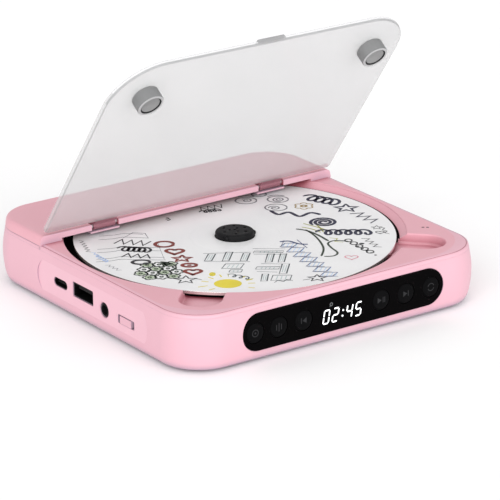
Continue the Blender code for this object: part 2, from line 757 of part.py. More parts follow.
def battery():
    outline = rounded_rectangle(34 * MM, 15 * MM, 2.5 * MM, (0, 44 * MM), 4)
    finish = material("battery_wrap", (0.35, 0.37, 0.4), 0.35, 0.4)
    return smooth(prism("battery", outline, CAVITY_FLOOR + GAP, 10 * MM, finish=finish))


def speaker_frame(label, side):
    """A speaker's steel basket with the magnet on its back, open towards the floor."""
    profile = ((12.0, 3.1), (12.0, 4.3), (9.8, 5.2), (6.0, 5.6), (6.0, 7.6))
    frame = turned(f"speaker_frame_{label}", [(r * MM, z * MM) for r, z in profile], finish=steel())
    hollow = turned("hollow", [(r * MM, z * MM) for r, z in ((10.6, 2), (10.6, 4.1), (5.0, 5.0))])
    cut(frame, hollow)
    frame.location = (side * SPEAKER_XY[0], SPEAKER_XY[1], 0)
    return smooth(frame)


def speaker_cone(label, side):
    """The speaker's moving cone, inside the basket."""
    profile = ((9.9, 3.6), (9.9, 3.8), (5.0, 4.4), (0.6, 4.5))
    finish = material("cone_paper", (0.03, 0.03, 0.03), 0.8)
    cone = turned(f"speaker_cone_{label}", [(r * MM, z * MM) for r, z in profile], 16, finish)
    dish = ((9.3, 3.0), (9.3, 3.65), (4.6, 4.05), (2.0, 4.0))
    cut(cone, turned("dish", [(r * MM, z * MM) for r, z in dish], 16))
    cone.location = (side * SPEAKER_XY[0], SPEAKER_XY[1], 0)
    return smooth(cone)


def mechanism_chassis():
    """The steel frame of the drive: a plate with the sled's window and rod blocks."""
    plate = rounded_rectangle(43.4 * MM, 22 * MM, 3 * MM, (21.4 * MM, 0), 3)
    chassis = prism("mechanism_chassis", plate, CHASSIS_BOTTOM, CHASSIS_TOP, finish=steel())
    for low_x, high_x, y, low_z in (
        (8.2, 12.4, 12.7, 9.2),
        (8.2, 12.4, -12.7, 9.2),
        (62.0, 64.6, 12.7, 9.2),
        (62.0, 64.6, -12.7, 9.2),
        (62.0, 64.6, 18.8, 7.7),
    ):
        block = rectangle(low_x * MM, high_x * MM, (y - 2.4) * MM, (y + 2.4) * MM)
        join(chassis, prism("block", block, low_z * MM, CHASSIS_BOTTOM + 0.5 * MM))
    window = rectangle(12.9 * MM, 61.8 * MM, -10 * MM, 10 * MM)
    cut(chassis, prism("window", window, 10 * MM, 20 * MM))
    cut(chassis, cylinder("spindle_hole", 6 * MM, 10 * MM, 20 * MM))
    for y in (-ROD_Y, ROD_Y):
        cut(chassis, cylinder("rod_hole", 1.3 * MM, 9.2 * MM, 64 * MM, (y, ROD_Z), "X", 16))
    cut(chassis, cylinder("screw_hole", 1.0 * MM, 61 * MM, 64 * MM, (SCREW_Y, SCREW_Z), "X", 16))
    return chassis


def guide_rod(label, y):
    rod = cylinder(f"guide_rod_{label}", ROD_RADIUS, 9.6 * MM, 63.6 * MM, (y, ROD_Z), "X", 16, steel())
    return smooth(set_origin(rod, (0, y, ROD_Z)))


def pickup_sled():
    """The laser unit on its rods, with the arm that follows the feed screw."""
    low_x, high_x = SLED_X
    body = prism(
        "pickup_sled",
        rectangle(low_x, high_x, -9.5 * MM, 9.5 * MM),
        8.4 * MM,
        15.2 * MM,
        finish=material("die_cast", (0.25, 0.26, 0.27), 0.45, 0.9),
    )
    for y in (-ROD_Y, ROD_Y):
        collar = rectangle(low_x, high_x, y - 3.2 * MM, y + 3.2 * MM)
        join(body, prism("collar", collar, 9 * MM, CHASSIS_BOTTOM - 0.3 * MM))
    arm = rectangle(low_x + 2 * MM, low_x + 8 * MM, 14 * MM, SCREW_Y - 1.6 * MM)
    join(body, prism("arm", arm, 9.1 * MM, 11.5 * MM))
    for y in (-ROD_Y, ROD_Y):
        cut(body, cylinder("bore", 1.08 * MM, 5 * MM, 40 * MM, (y, ROD_Z), "X", 16))
    well = rectangle(LENS_X - 4 * MM, LENS_X + 4 * MM, -5 * MM, 5 * MM)
    cut(body, prism("lens_well", well, 11.5 * MM, 20 * MM))
    return body


def objective_lens():
    """The lens in its holder, which rises and falls to hold focus."""
    profile = ((3.2, 12.6), (3.2, 15.8), (2.6, 16.4), (2.2, 16.4), (1.4, 16.9), (0.4, 17.1))
    finish = material("lens_glass", (0.25, 0.3, 0.5), 0.05)
    lens = turned("objective_lens", [(r * MM, z * MM) for r, z in profile], 16, finish)
    lens.location = (LENS_X, 0, 0)
    return smooth(lens)


def sled_motor():
    """The small motor that turns the feed screw."""
    motor = cylinder("sled_motor", 2.8 * MM, -6 * MM, 12.8 * MM, (SCREW_Y, SCREW_Z), "X", 16, steel())
    cut(motor, cylinder("shaft_hole", 1 * MM, 8 * MM, 20 * MM, (SCREW_Y, SCREW_Z), "X", 16))
    return smooth(set_origin(motor, (0, SCREW_Y, SCREW_Z)))


def feed_screw():
    """The screw that moves the sled: a threaded length with thin ends."""
    screw = cylinder("feed_screw", 1.2 * MM, 13.6 * MM, 61.4 * MM, (SCREW_Y, SCREW_Z), "X", 16, steel())
    join(screw, cylinder("journal", 0.7 * MM, 8.6 * MM, 63.6 * MM, (SCREW_Y, SCREW_Z), "X", 16))
    return smooth(set_origin(screw, (0, SCREW_Y, SCREW_Z)))


def spindle_motor():
    """The disc's motor, under the chassis, open above for the shaft."""
    profile = ((11.6, 4.0), (12.2, 4.6), (12.2, 11.8), (11.7, 12.3))
    motor = turned("spindle_motor", [(r * MM, z * MM) for r, z in profile], 24, steel())
    cut(motor, cylinder("shaft_hole", 1.3 * MM, 6 * MM, 20 * MM, steps=16))
    return smooth(motor)


def damper(index, xy):
    """A rubber bush between a case post and the chassis."""
    profile = ((3.2, 9.3), (3.2, 10.2), (2.5, 10.8), (3.2, 11.4), (3.2, 12.3))
    bush = turned(f"rubber_damper_{index}", [(r * MM, z * MM) for r, z in profile], 12, black_rubber())
    cut(bush, cylinder("hole", 1.2 * MM, 5 * MM, 20 * MM, steps=8))
    bush.location = (*xy, 0)
    return smooth(bush)


def spindle_hub():
    """The turntable, its centring cap and the shaft into the motor."""
    profile = (
        (1.0, 7.0),
        (1.0, 14.4),
        (5.0, 14.4),
        (5.0, 18.3),
        (13.0, 18.3),
        (13.0, 19.5),
        (7.3, 19.5),
        (7.3, 22.7),
        (6.8, 23.3),
    )
    hub = turned("spindle_hub", [(r * MM, z * MM) for r, z in profile], 32, black_plastic())
    for i in range(3):
        pocket = cylinder("pocket", BALL_RADIUS + 0.2 * MM, 4.6 * MM, 9 * MM, (0, BALL_HEIGHT), "X", 8)
        pocket.data.transform(Matrix.Rotation(radians(90 + 120 * i), 4, "Z"))
        cut(hub, pocket)
    return smooth(hub)


def chuck_ball(index):
    """One of the sprung balls that hold the disc on the hub."""
    turn = radians(90 + 120 * index)
    shape = bmesh.new()
    bmesh.ops.create_uvsphere(shape, u_segments=8, v_segments=6, radius=BALL_RADIUS)
    ball = object_from_bmesh(f"chuck_ball_{index + 1}", shape, steel())
    ball.location = (BALL_ORBIT * cos(turn), BALL_ORBIT * sin(turn), BALL_HEIGHT)
    return smooth(ball, 60)


def disc():
    """A 120 mm disc with its 15 mm hole."""
    finish = material("disc_print", (0.82, 0.82, 0.82), 0.25)
    platter = cylinder("disc", DISC_RADIUS, DISC_BOTTOM, DISC_TOP, steps=WELL_STEPS, finish=finish)
    cut(platter, cylinder("bore", DISC_BORE, 10 * MM, 30 * MM, steps=32))
    return smooth(platter)


# ---------------------------------------------------------------- assembly


def build_case():
    bottom_case()
    top_cover()
    disc_tray()
    indicator_light()
    for index, xy in enumerate(four_corners(FOOT_XY), 1):
        rubber_foot(index, xy)
    for index, xy in enumerate(four_corners(BOSS_XY), 1):
        case_screw(index, xy)


def build_lid():
    axis = hinge_axis()
    hang_on(axis, lid())
    for label, side in SIDES:
        hang_on(axis, lid_post(label, side))
        hang_on(axis, lid_magnet(label, side))
        hinge_pin(label, side)
        keeper_plate(label, side)


def build_controls():
    front_panel()
    for name, x in zip(BUTTON_NAMES, BUTTON_X):
        front_button(name, x)
    display_board()
    clock_display()
    usb_c_port()
    usb_a_port()
    headphone_jack()
    slide_switch()
    switch_knob()
    main_board()


def build_inside():
    battery()
    for label, side in SIDES:
        speaker_frame(label, side)
        speaker_cone(label, side)
    mechanism_chassis()
    guide_rod("front", -ROD_Y)
    guide_rod("rear", ROD_Y)
    pickup_sled()
    objective_lens()
    sled_motor()
    feed_screw()
    spindle_motor()
    for index, xy in enumerate(DAMPER_XY, 1):
        damper(index, xy)
    spindle_hub()
    for index in range(3):
        chuck_ball(index)
    disc()


clear_scene()
build_case()
build_lid()
build_controls()
build_inside()
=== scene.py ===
"""The looks of the portable CD player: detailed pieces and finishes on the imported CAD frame.

All lengths are in metres in the CAD's own frame: the origin is on the disc's axis on the table,
+X is the player's right, +Y its back and +Z up. The lid stands open at rest.
"""

from math import cos, pi, radians, sin

import bmesh
import bpy
from mathutils import Matrix, Vector


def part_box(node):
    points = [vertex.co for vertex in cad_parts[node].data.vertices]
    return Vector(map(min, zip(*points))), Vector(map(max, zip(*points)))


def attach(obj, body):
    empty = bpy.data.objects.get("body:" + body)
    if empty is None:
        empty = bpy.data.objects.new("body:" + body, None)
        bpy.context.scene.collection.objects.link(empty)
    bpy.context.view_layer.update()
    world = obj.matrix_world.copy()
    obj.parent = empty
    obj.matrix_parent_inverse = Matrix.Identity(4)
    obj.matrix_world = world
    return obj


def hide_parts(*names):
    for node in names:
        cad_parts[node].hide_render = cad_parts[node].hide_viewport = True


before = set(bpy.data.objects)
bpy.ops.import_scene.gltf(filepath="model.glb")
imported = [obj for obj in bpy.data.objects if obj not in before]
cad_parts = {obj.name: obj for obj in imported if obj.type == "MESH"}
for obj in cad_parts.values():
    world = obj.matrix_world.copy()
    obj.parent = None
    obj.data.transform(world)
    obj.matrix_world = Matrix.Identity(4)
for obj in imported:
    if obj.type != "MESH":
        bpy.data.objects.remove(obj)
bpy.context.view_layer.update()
MM = 0.001

# Steps of round shapes
CORNER_STEPS = 24
WELL_STEPS = 180
ROUND_STEPS = 40
FILLET_STEPS = 4

# Case, as in the CAD but with finer curves
HALF_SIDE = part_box("bottom_case")[1].x
CORNER_RADIUS = 17.5 * MM
# Side profiles, as (inset, height) in millimetres
CASE_PROFILE = (
    *((3.6, 1.0), (1.9, 1.8), (0.9, 4.2), (0.25, 8.0)),
    *((0.0, 12.0), (0.2, 16.0), (1.0, 20.88)),
)
SIDE_ABOVE_SEAM = ((1.04, 20.9), (1.08, 21.4), (1.2, 21.8))
DECK_EDGE = ((1.2, 21.8), (1.4, 22.08), (1.8, 22.24))
DECK_GROOVE = ((1.84, 22.08), (2.04, 22.08), (2.08, 22.28))  # the line round the front deck
FLAT_DECK_INSET = 3.05 * MM
FLAT_DECK_CORNER = 22 * MM  # the flat part's corners are rounder than the case's
REAR_GROOVE = ((1.5, 22.06), (1.52, 22.2))  # the line under the rear deck's side
REAR_EDGE = ((1.24, 22.24), (1.35, 23.4), (1.7, 24.8), (2.3, 25.5), (3.3, 25.8))
FRONT_DECK = 22.6 * MM
REAR_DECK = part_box("top_cover")[1].z
REAR_DECK_FRONT = 29.8 * MM
DECK_OVERLAP = 0.8 * MM  # how far the front deck runs in under the rear deck
REAR_DECK_UNDERSIDE = 23.6 * MM
CAVITY_HALF = 65.2 * MM
CAVITY_FLOOR = 2.8 * MM
SAME_PLANE = 0.01 * MM

# Well, tray, disc and hub
WELL_RADIUS = 63.7 * MM
WELL_FOOT_RADIUS = 62.4 * MM
WELL_FOOT_CENTRE = (-0.98 * MM, 0.69 * MM)
WELL_WALL = 1.2 * MM
WELL_RIM_ROUNDING = 0.45 * MM
WELL_RING_TOP = 21.5 * MM
WELL_WALL_BOTTOM = 19.7 * MM
WELL_FOOT_SHADOW_BAND = (19.6 * MM, 20.35 * MM)  # levels of the band at the wall's foot painted black as shadow
TRAY_RADIUS = 64.6 * MM
TRAY_WALL = 1.4 * MM
TRAY_CLEARANCE = 0.4 * MM
TRAY_UNDERSIDE, TRAY_FLOOR = 15.6 * MM, 17.2 * MM
SPINDLE_HOLE = 6.4 * MM
LENS_WINDOW = (23.5 * MM, 7 * MM, 2 * MM)  # half length, half width and corner
LENS_WINDOW_X = 38.5 * MM
TRAY_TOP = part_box("disc_tray")[1].z
DISC_RADIUS = 60 * MM
DISC_BORE = 7.5 * MM
DISC_GROOVE = ((17.2, 0), (16.9, 0.08), (16.6, 0))  # radius and depth
DISC_BOTTOM, DISC_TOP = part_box("disc")[0].z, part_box("disc")[1].z
BALL_WINDOW, BALL_Z = 1.15 * MM, 21.95 * MM
SLOT_START = (40 * MM, -40.4 * MM)
SLOT_END = (50 * MM, -50.5 * MM)
SLOT_RADIUS = 7.7 * MM
SLOT_FLOOR = 18.4 * MM
SLOT_DISH = ((-1.1, 0), (-0.55, 0.12), (-0.2, 0.5))  # growth and height over the floor
SLOT_CUP_WALL = 1.3 * MM
SLOT_CUP_BOTTOM = 17 * MM
TONGUE_LEVELS = (17.6 * MM, 18.6 * MM)  # where the slot's floor reaches in under the disc
TONGUE_WALL = 1.2 * MM
TONGUE_REACH = 58.5 * MM
TONGUE_SIDE_LEVELS = (17.9 * MM, 19.9 * MM)  # its side walls stop outside the disc
TONGUE_SIDE_REACH = 60.6 * MM
NOTCH_FLOOR = 17.3 * MM
NOTCH_CLEARANCE = 1.6 * MM

# Lid, shaped closed and then turned open about its hinge
LID_OPEN = radians(54)
HINGE = Vector((0, 31.4 * MM, 24.6 * MM))
LID_HALF_WIDTH = 64.9 * MM
LID_FRONT, LID_REAR = -64.4 * MM, 28.2 * MM
LID_CORNER = 20.1 * MM
LID_REAR_CORNER = 1.5 * MM
LID_INNER_BEVEL = ((-0.5, 0), (-0.16, 0.3), (0, 0.75))  # growth and height over the inner face
LID_OUTER_BEVEL = ((0, 0.3), (-0.1, 0.08), (-0.3, 0))  # growth and depth under the outer face
LIP_HALF = (6 * MM, 1.3 * MM)
LIP_Y = LID_FRONT + 0.8 * MM
LID_INNER, LID_OUTER = 24.0 * MM, 25.8 * MM
KNUCKLE_X = (33.0 * MM, 42.6 * MM)
KNUCKLE_RADIUS = 1.4 * MM
KNUCKLE_BORE = 0.77 * MM
POCKET_X = (31.9 * MM, 43.7 * MM)
POCKET_FRONT, POCKET_BACK = 26.8 * MM, 33.5 * MM
SHELF_LEVELS = (22.35 * MM, 22.95 * MM)
SHELF_OVERLAP = 0.4 * MM
POST_XY = (49.5 * MM, -48.7 * MM)

# Front panel
PANEL_X = 0.8 * MM
PANEL_Z = 12.15 * MM
PANEL_HALF_LENGTH = 44.4 * MM
PANEL_RADIUS = 7 * MM
PANEL_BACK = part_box("front_panel")[1].y
PANEL_CLEARANCE = 0.22 * MM
PANEL_LEDGE = 0.7 * MM  # the rim of the case that the panel's edge rests on
PANEL_SEAT = -65.9 * MM
BUTTON_RADIUS = 3.75 * MM
BUTTON_GAP = 0.14 * MM
BUTTONS = (
    "mode_button",
    "equaliser_button",
    "previous_button",
    "play_button",
    "next_button",
    "repeat_button",
)

# Left side
PORT_FACE = -67 * MM
PORT_WALL = (-64 * MM, -70 * MM)  # past the wall's inner and outer faces
PORT_PANEL_Z = 11.9 * MM
PORT_PANEL_Y = (-42.6 * MM, 30.5 * MM)
PORT_PANEL_RADIUS = 7.5 * MM
USB_C = (15.3 * MM, 12.2 * MM)  # each socket's middle, as Y and Z
USB_A = (0.1 * MM, 12.8 * MM)
JACK = (-13.9 * MM, 10.8 * MM)
SWITCH = (-28.3 * MM, 10.65 * MM)

# Underside, and the speakers behind its grilles
FOOT_XY = (47 * MM, 56.5 * MM)
SCREW_XY = (56 * MM, 56 * MM)
SPEAKER_XY = (38 * MM, -43 * MM)
FOOT_RECESS = (5.25 * MM, 1.8 * MM)  # radius and depth
SCREW_RECESS = (2.7 * MM, 3.4 * MM)
GRILLE = ((1, 0.0), (6, 2.6), (12, 5.2), (18, 7.8))  # count and radius of each ring of holes
GRILLE_HOLE = 0.75 * MM

# Indicator lights in the front deck's right corner
INDICATOR_XY = ((58.9 * MM, -37.9 * MM), (60.3 * MM, -38.9 * MM))
INDICATOR_HOLE, INDICATOR_PIN, INDICATOR_BAR = 0.6 * MM, 0.54 * MM, 1.1 * MM  # radii

SIDES = (-1, 1)
THROUGH = ((0, 10 * MM), (0, 30 * MM))  # levels of a cutter through tray, cover and deck
ABOVE_DECKS = 40 * MM


# ---------------------------------------------------------------- node materials

GRAIN = 0.3 * MM
GRAIN_DEPTH = 0.003 * MM
# How far the ambient occlusion reaches that paints shade into corners and hollows
HOLLOW_SHADE_REACH = 5 * MM


class Finish:
    """A node material under construction, with object coordinates for its patterns."""

    def __init__(self, name, **sockets):
        self.material = bpy.data.materials.new(name)
        self.material.use_nodes = True
        self.tree = self.material.node_tree
        self.shader = self.tree.nodes["Principled BSDF"]
        self.place = self.add("ShaderNodeTexCoord").outputs["Object"]
        self.fill(self.shader, sockets)

    def fill(self, node, sockets):
        """Links or writes each socket, whose name has _ for a space."""
        for name, value in sockets.items():
            socket = node.inputs[name.replace("_", " ")]
            if isinstance(value, bpy.types.NodeSocket):
                self.tree.links.new(value, socket)
            else:
                socket.default_value = value
        return node

    def add(self, kind, **sockets):
        return self.fill(self.tree.nodes.new(kind), sockets)

    def stretched(self, scale):
        """Object coordinates scaled along each axis, for brushed patterns."""
        return self.add("ShaderNodeMapping", Scale=scale, Vector=self.place).outputs["Vector"]

    def noise(self, size, detail=3.0, vector=None):
        """Noise whose features are about the size given."""
        place = vector or self.place
        pattern = self.add("ShaderNodeTexNoise", Scale=1 / size, Detail=detail, Vector=place)
        return pattern.outputs["Fac"]

    def between(self, factor, low, high, start=0.3, stop=0.7):
        """A value or colour that runs from low to high as the factor runs from start to stop."""
        ramp = self.add("ShaderNodeValToRGB", Fac=factor)
        first, last = ramp.color_ramp.elements
        first.position, last.position = start, stop
        for element, value in ((first, low), (last, high)):
            colour = (value,) * 3 if isinstance(value, float) else value
            element.color = (*colour, 1.0)
        return ramp.outputs["Color"]

    def uneven(self, pattern, colour, spread):
        return self.between(pattern, shade(colour, 1 - spread), shade(colour, 1 + spread))

    def shaded_in_hollows(self, tone, crease):
        """The tone, running to a painted shade colour in corners and hollows, where ambient
        occlusion finds nearby surfaces.
        """
        shelter = self.add("ShaderNodeAmbientOcclusion", Distance=HOLLOW_SHADE_REACH)
        shelter.samples = 12
        openness = self.between(shelter.outputs["AO"], 0.0, 1.0, 0.35, 0.92)
        mix = self.add("ShaderNodeMixRGB", Color1=(*crease, 1.0), Color2=tone, Fac=openness)
        return mix.outputs["Color"]

    def surface(self, relief=None, depth=0.0, **sockets):
        """Fills the shader's sockets, with bumps of that depth, and gives the material."""
        if relief:
            bump = self.add("ShaderNodeBump", Distance=depth, Strength=1.0, Height=relief)
            sockets["Normal"] = bump.outputs["Normal"]
        self.fill(self.shader, sockets)
        return self.material


def shade(colour, factor):
    return tuple(min(1.0, part * factor) for part in colour)


def moulded(
    name, colour, roughness, spread, gloss, crease=None, grain=GRAIN, depth=GRAIN_DEPTH, **sockets
):
    """Moulded plastic: cloudy tone over centimetres, spark-eroded grain, uneven gloss, and painted
    shade in hollows when a shade colour is given.
    """
    finish = Finish(name, Specular_IOR_Level=gloss, **sockets)
    tone = finish.uneven(finish.noise(22 * MM, 2.0), colour, spread)
    return finish.surface(
        finish.noise(grain, 2.0),
        depth,
        # Painted shade: the base colour darkens in corners and hollows
        Base_Color=finish.shaded_in_hollows(tone, crease) if crease else tone,
        Roughness=finish.between(finish.noise(9 * MM, 4.0), roughness - 0.04, roughness + 0.05),
    )


def metal(name, colour, roughness, along):
    """Metal with fine drawing lines along its long axis and uneven polish."""
    finish = Finish(name, Metallic=1.0)
    lines = finish.noise(0.5 * MM, 4.0, finish.stretched(along))
    return finish.surface(
        lines,
        0.002 * MM,
        Base_Color=finish.between(lines, shade(colour, 0.86), shade(colour, 1.1)),
        Roughness=finish.between(finish.noise(4 * MM), roughness - 0.07, roughness + 0.1),
    )


def circuit_board():
    """Solder mask with copper tracks showing through as a lighter weave of lines."""
    finish = Finish("board_green", Coat_Weight=0.3)
    tracks = finish.add(
        "ShaderNodeTexBrick",
        Scale=1 / (14 * MM),
        Mortar_Size=0.012,
        Color1=(0.012, 0.10, 0.045, 1),
        Color2=(0.014, 0.12, 0.055, 1),
        Mortar=(0.05, 0.22, 0.09, 1),
        Vector=finish.place,
    )
    return finish.surface(
        tracks.outputs["Fac"],
        0.02 * MM,
        Base_Color=tracks.outputs["Color"],
        Roughness=finish.between(finish.noise(3 * MM), 0.3, 0.45),
    )


def acrylic(name, colour, alpha, roughness):
    """Clear sheet, hazed by fine wiping marks, whose tone drifts a little across the pane."""
    finish = Finish(name, Alpha=alpha, Specular_IOR_Level=0.12)
    haze = finish.noise(30 * MM, 3.0)
    marks = finish.noise(2 * MM, 5.0, finish.stretched((1, 0.12, 0.12)))
    return finish.surface(
        marks,
        0.0002 * MM,
        Base_Color=finish.between(haze, shade(colour, 0.985), shade(colour, 1.01)),
        Roughness=finish.between(marks, roughness, roughness + 0.08),
    )


def printed_disc():
    """White screen print: nearly plain, with the print's fine dots and a soft sheen."""
    finish = Finish("disc_print", Coat_Weight=0.25, Coat_Roughness=0.12)
    tone = finish.noise(18 * MM, 2.0)
    dots = finish.add("ShaderNodeTexVoronoi", Scale=1 / (0.25 * MM), Vector=finish.place)
    return finish.surface(
        dots.outputs["Distance"],
        0.001 * MM,
        Base_Color=finish.between(tone, (0.80, 0.795, 0.805), (0.84, 0.84, 0.84)),
        Roughness=finish.between(dots.outputs["Distance"], 0.3, 0.42),
    )


def disc_mirror():
    """The disc's rim and recorded side: silver under clear plastic, with a faint rainbow of
    diffracted light painted into its colour.
    """
    finish = Finish("disc_mirror", Metallic=0.75, Coat_Weight=1.0, Coat_Roughness=0.02)
    wave = finish.add("ShaderNodeTexWave", Scale=1 / (34 * MM), Distortion=2.0, Vector=finish.place)
    wave.wave_type, wave.rings_direction = "RINGS", "Z"
    # Blue and amber rings in the base colour: a painted rainbow reflection
    blue, amber = (0.62, 0.66, 0.74), (0.76, 0.70, 0.66)
    return finish.surface(
        Base_Color=finish.between(wave.outputs["Fac"], blue, amber, 0.1, 0.9),
        Roughness=finish.between(finish.noise(0.4 * MM), 0.14, 0.24),
    )


def glowing_digits():
    """Light from behind a diffuser: a little uneven, as a printed mask makes it."""
    finish = Finish("clock_light", Emission_Strength=1.15, Roughness=0.6)
    glow = finish.between(finish.noise(1.2 * MM, 2.0), (0.86, 0.9, 0.92), (1.0, 1.0, 1.0))
    return finish.surface(Base_Color=glow, Emission_Color=glow)


FINE_TONE = 0.012
# Colours of the painted shade that ambient occlusion mixes into corners and hollows
PINK_HOLLOW_SHADE = {"crease": (0.44, 0.316, 0.395)}
DECK_HOLLOW_SHADE = {"crease": (0.34, 0.07, 0.095)}
RUBBER_GRAIN = {"grain": 0.5 * MM, "depth": 0.02 * MM}
PAPER_GRAIN = {"grain": 0.5 * MM, "depth": 0.05 * MM}
CAST_GRAIN = {"grain": 0.6 * MM, "depth": 0.03 * MM, "Metallic": 0.7}
SMOOTH = {"depth": 0.0}
COATED = {"depth": 0.0, "Coat_Weight": 1.0}

# Moulded finishes: material name, colour, roughness, unevenness of tone, gloss, other settings
MOULDED = {
    "pink": ("pink_plastic", (0.735, 0.422, 0.494), 0.42, FINE_TONE, 0.4, PINK_HOLLOW_SHADE),
    # A lighter copy of the case pink for the flat port facet: painted light
    "lit_port_pink": ("pink_port_panel", (0.78, 0.465, 0.54), 0.42, FINE_TONE, 0.4),
    # The decks' tops get this deeper, darker copy of the case pink and the sides the paler one:
    # painted shade and highlight by which way a face looks
    "shaded_deck_pink": ("pink_deck", (0.735, 0.378, 0.437), 0.42, FINE_TONE, 0.4, DECK_HOLLOW_SHADE),
    "black": ("black_plastic", (0.007, 0.007, 0.008), 0.55, 0.2, 0.15),
    "tray_black": ("tray_plastic", (0.005, 0.004, 0.0045), 0.6, 0.2, 0.15),
    "panel": ("gloss_black", (0.0014, 0.0012, 0.0014), 0.2, 0.1, 0.022, SMOOTH),
    "button": ("button_black", (0.0026, 0.0026, 0.003), 0.45, 0.15, 0.035),
    "icon": ("button_mark", (0.028, 0.028, 0.03), 0.5, 0.1, 0.08),
    "dim_mark": ("display_mark", (0.12, 0.125, 0.13), 0.5, 0.1, 0.5),
    "magnet": ("magnet_plating", (0.26, 0.264, 0.264), 0.45, 0.04, 0.3),
    "post": ("grey_plastic", (0.212, 0.214, 0.215), 0.5, 0.03, 0.3),
    # Copies of the post's grey: a lighter one as painted highlight on its rim, a near-black one as
    # painted shade in its groove
    "post_edge": ("grey_plastic_edge", (0.44, 0.445, 0.45), 0.4, 0.03, 0.4),
    "post_groove": ("grey_plastic_groove", (0.035, 0.036, 0.037), 0.6, 0.05, 0.1),
    "rubber": ("black_rubber", (0.02, 0.02, 0.021), 0.85, 0.2, 0.5, RUBBER_GRAIN),
    "light_pipe": ("light_pipe", (0.11, 0.04, 0.055), 0.3, 0.05, 0.5),
    "display": ("display_module", (0.02, 0.02, 0.022), 0.3, 0.2, 0.5),
    "die_cast": ("die_cast", (0.22, 0.225, 0.23), 0.5, 0.15, 0.5, CAST_GRAIN),
    "lens": ("lens_glass", (0.10, 0.14, 0.32), 0.08, 0.2, 0.5, COATED),
    "cone": ("cone_paper", (0.025, 0.025, 0.025), 0.9, 0.3, 0.5, PAPER_GRAIN),
}
# Metals: material name, colour, roughness, scale of the drawing lines along X, Y and Z
METALS = {
    "steel": ("steel", (0.60, 0.61, 0.63), 0.28, (0.1, 1, 1)),
    "port_steel": ("port_steel", (0.035, 0.036, 0.038), 0.45, (0.15, 1, 1)),
    "contact": ("contact_gold", (0.30, 0.21, 0.09), 0.35, (0.2, 1, 1)),
    "battery": ("battery_wrap", (0.42, 0.44, 0.47), 0.35, (1, 0.1, 1)),
}
# The clear lid's finishes: material name, colour, alpha, roughness
ACRYLICS = {
    "acrylic": ("clear_acrylic", (0.65, 0.65, 0.654), 0.37, 0.12),
    # The next two are painted light for the pane's edges: a highlight for the rims and shade lines
    # for the bevels and lip
    "acrylic_rim": ("clear_acrylic_painted_highlight", (0.86, 0.86, 0.87), 0.5, 0.2),
    "acrylic_line": ("clear_acrylic_painted_shade_line", (0.35, 0.35, 0.355), 0.78, 0.3),
    # Painted shade: the knuckles take the dark maroon of the shaded pink pocket seen through them
    "acrylic_knuckle": ("clear_acrylic_painted_shade_knuckle", (0.40, 0.17, 0.21), 0.62, 0.3),
}
# The colours of the disc's felt-pen strokes
INKS = {
    "black": (0.008, 0.008, 0.012),
    "navy": (0.012, 0.014, 0.042),
    "brown": (0.20, 0.028, 0.018),
    "moss": (0.022, 0.036, 0.022),
    "leaf": (0.40, 0.48, 0.34),
    "slate": (0.055, 0.075, 0.085),
    "mist": (0.46, 0.55, 0.55),
    "yellow": (0.66, 0.55, 0.04),
    "olive": (0.36, 0.36, 0.07),
    "ochre": (0.30, 0.20, 0.06),
    "sky": (0.32, 0.46, 0.74),
    "pale_sky": (0.50, 0.62, 0.80),
    "blue": (0.035, 0.055, 0.16),
    "grey": (0.20, 0.20, 0.22),
    "rose": (0.66, 0.28, 0.34),
}


def make_finishes():
    made = {key: moulded(*row[:5], **dict(*row[5:])) for key, row in MOULDED.items()}
    made |= {key: metal(*row) for key, row in METALS.items()}
    made |= {key: acrylic(*row) for key, row in ACRYLICS.items()}
    for name, colour in INKS.items():
        made[f"ink_{name}"] = moulded(f"ink_{name}", colour, 0.45, 0.12, 0.25)
    made |= {"digit": glowing_digits(), "board": circuit_board()}
    return made | {"print": printed_disc(), "mirror": disc_mirror()}


FINISH = make_finishes()


# ---------------------------------------------------------------- shapes


def object_from(name, shape, *finishes):
    bmesh.ops.recalc_face_normals(shape, faces=shape.faces)
    mesh = bpy.data.meshes.new(name)
    shape.to_mesh(mesh)
    shape.free()
    obj = bpy.data.objects.new(name, mesh)
    bpy.context.scene.collection.objects.link(obj)
    for finish in finishes:
        mesh.materials.append(FINISH[finish])
    return obj


def bridged(rings, closed):
    """A new shape with faces between neighbouring rings of points, and its rings of vertices."""
    shape = bmesh.new()
    loops = [[shape.verts.new(point) for point in ring] for ring in rings]
    count = len(loops[0])
    for lower, upper in zip(loops, loops[1:] + loops[:1] if closed else loops[1:]):
        for i in range(count):
            j = (i + 1) % count
            shape.faces.new((lower[i], lower[j], upper[j], upper[i]))
    return shape, loops


def loft(name, rings, *finishes):
    """A closed solid through rings of points, all with the same number of points."""
    shape, loops = bridged(rings, closed=False)
    shape.faces.new(loops[0])
    shape.faces.new(loops[-1])
    return object_from(name, shape, *finishes)


def hoop(name, rings, *finishes):
    """A closed band through rings of points, whose last ring joins the first."""
    return object_from(name, bridged(rings, closed=True)[0], *finishes)


def cad_middle(node):
    low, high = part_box(node)
    return (low + high) / 2


def at_height(outline, height):
    return [(x, y, height) for x, y in outline]


def in_metres(profile):
    return [(u * MM, v * MM) for u, v in profile]


def along(axis, u, v, w):
    """The point with u and v across the axis and w along it."""
    return {"X": (w, u, v), "Y": (u, w, v), "Z": (u, v, w)}[axis]


def flared(name, outline, levels, axis="Z", *finishes):
    """A solid whose outline(grow) changes from level to level: (grow, place on the axis)."""
    rings = [[along(axis, u, v, w) for u, v in outline(grow)] for grow, w in levels]
    return loft(name, rings, *finishes)


def straight(low, high):
    return [(0, low), (0, high)]


def prism(outline, levels, axis="Z", *finishes):
    """A solid with the same outline all along."""
    return flared("prism", lambda grow: outline, levels, axis, *finishes)


def stepped(table, base, way=1):
    """Levels from (growth, distance) pairs in millimetres, the distance counted from base."""
    return [(grow, base + way * distance) for grow, distance in in_metres(table)]


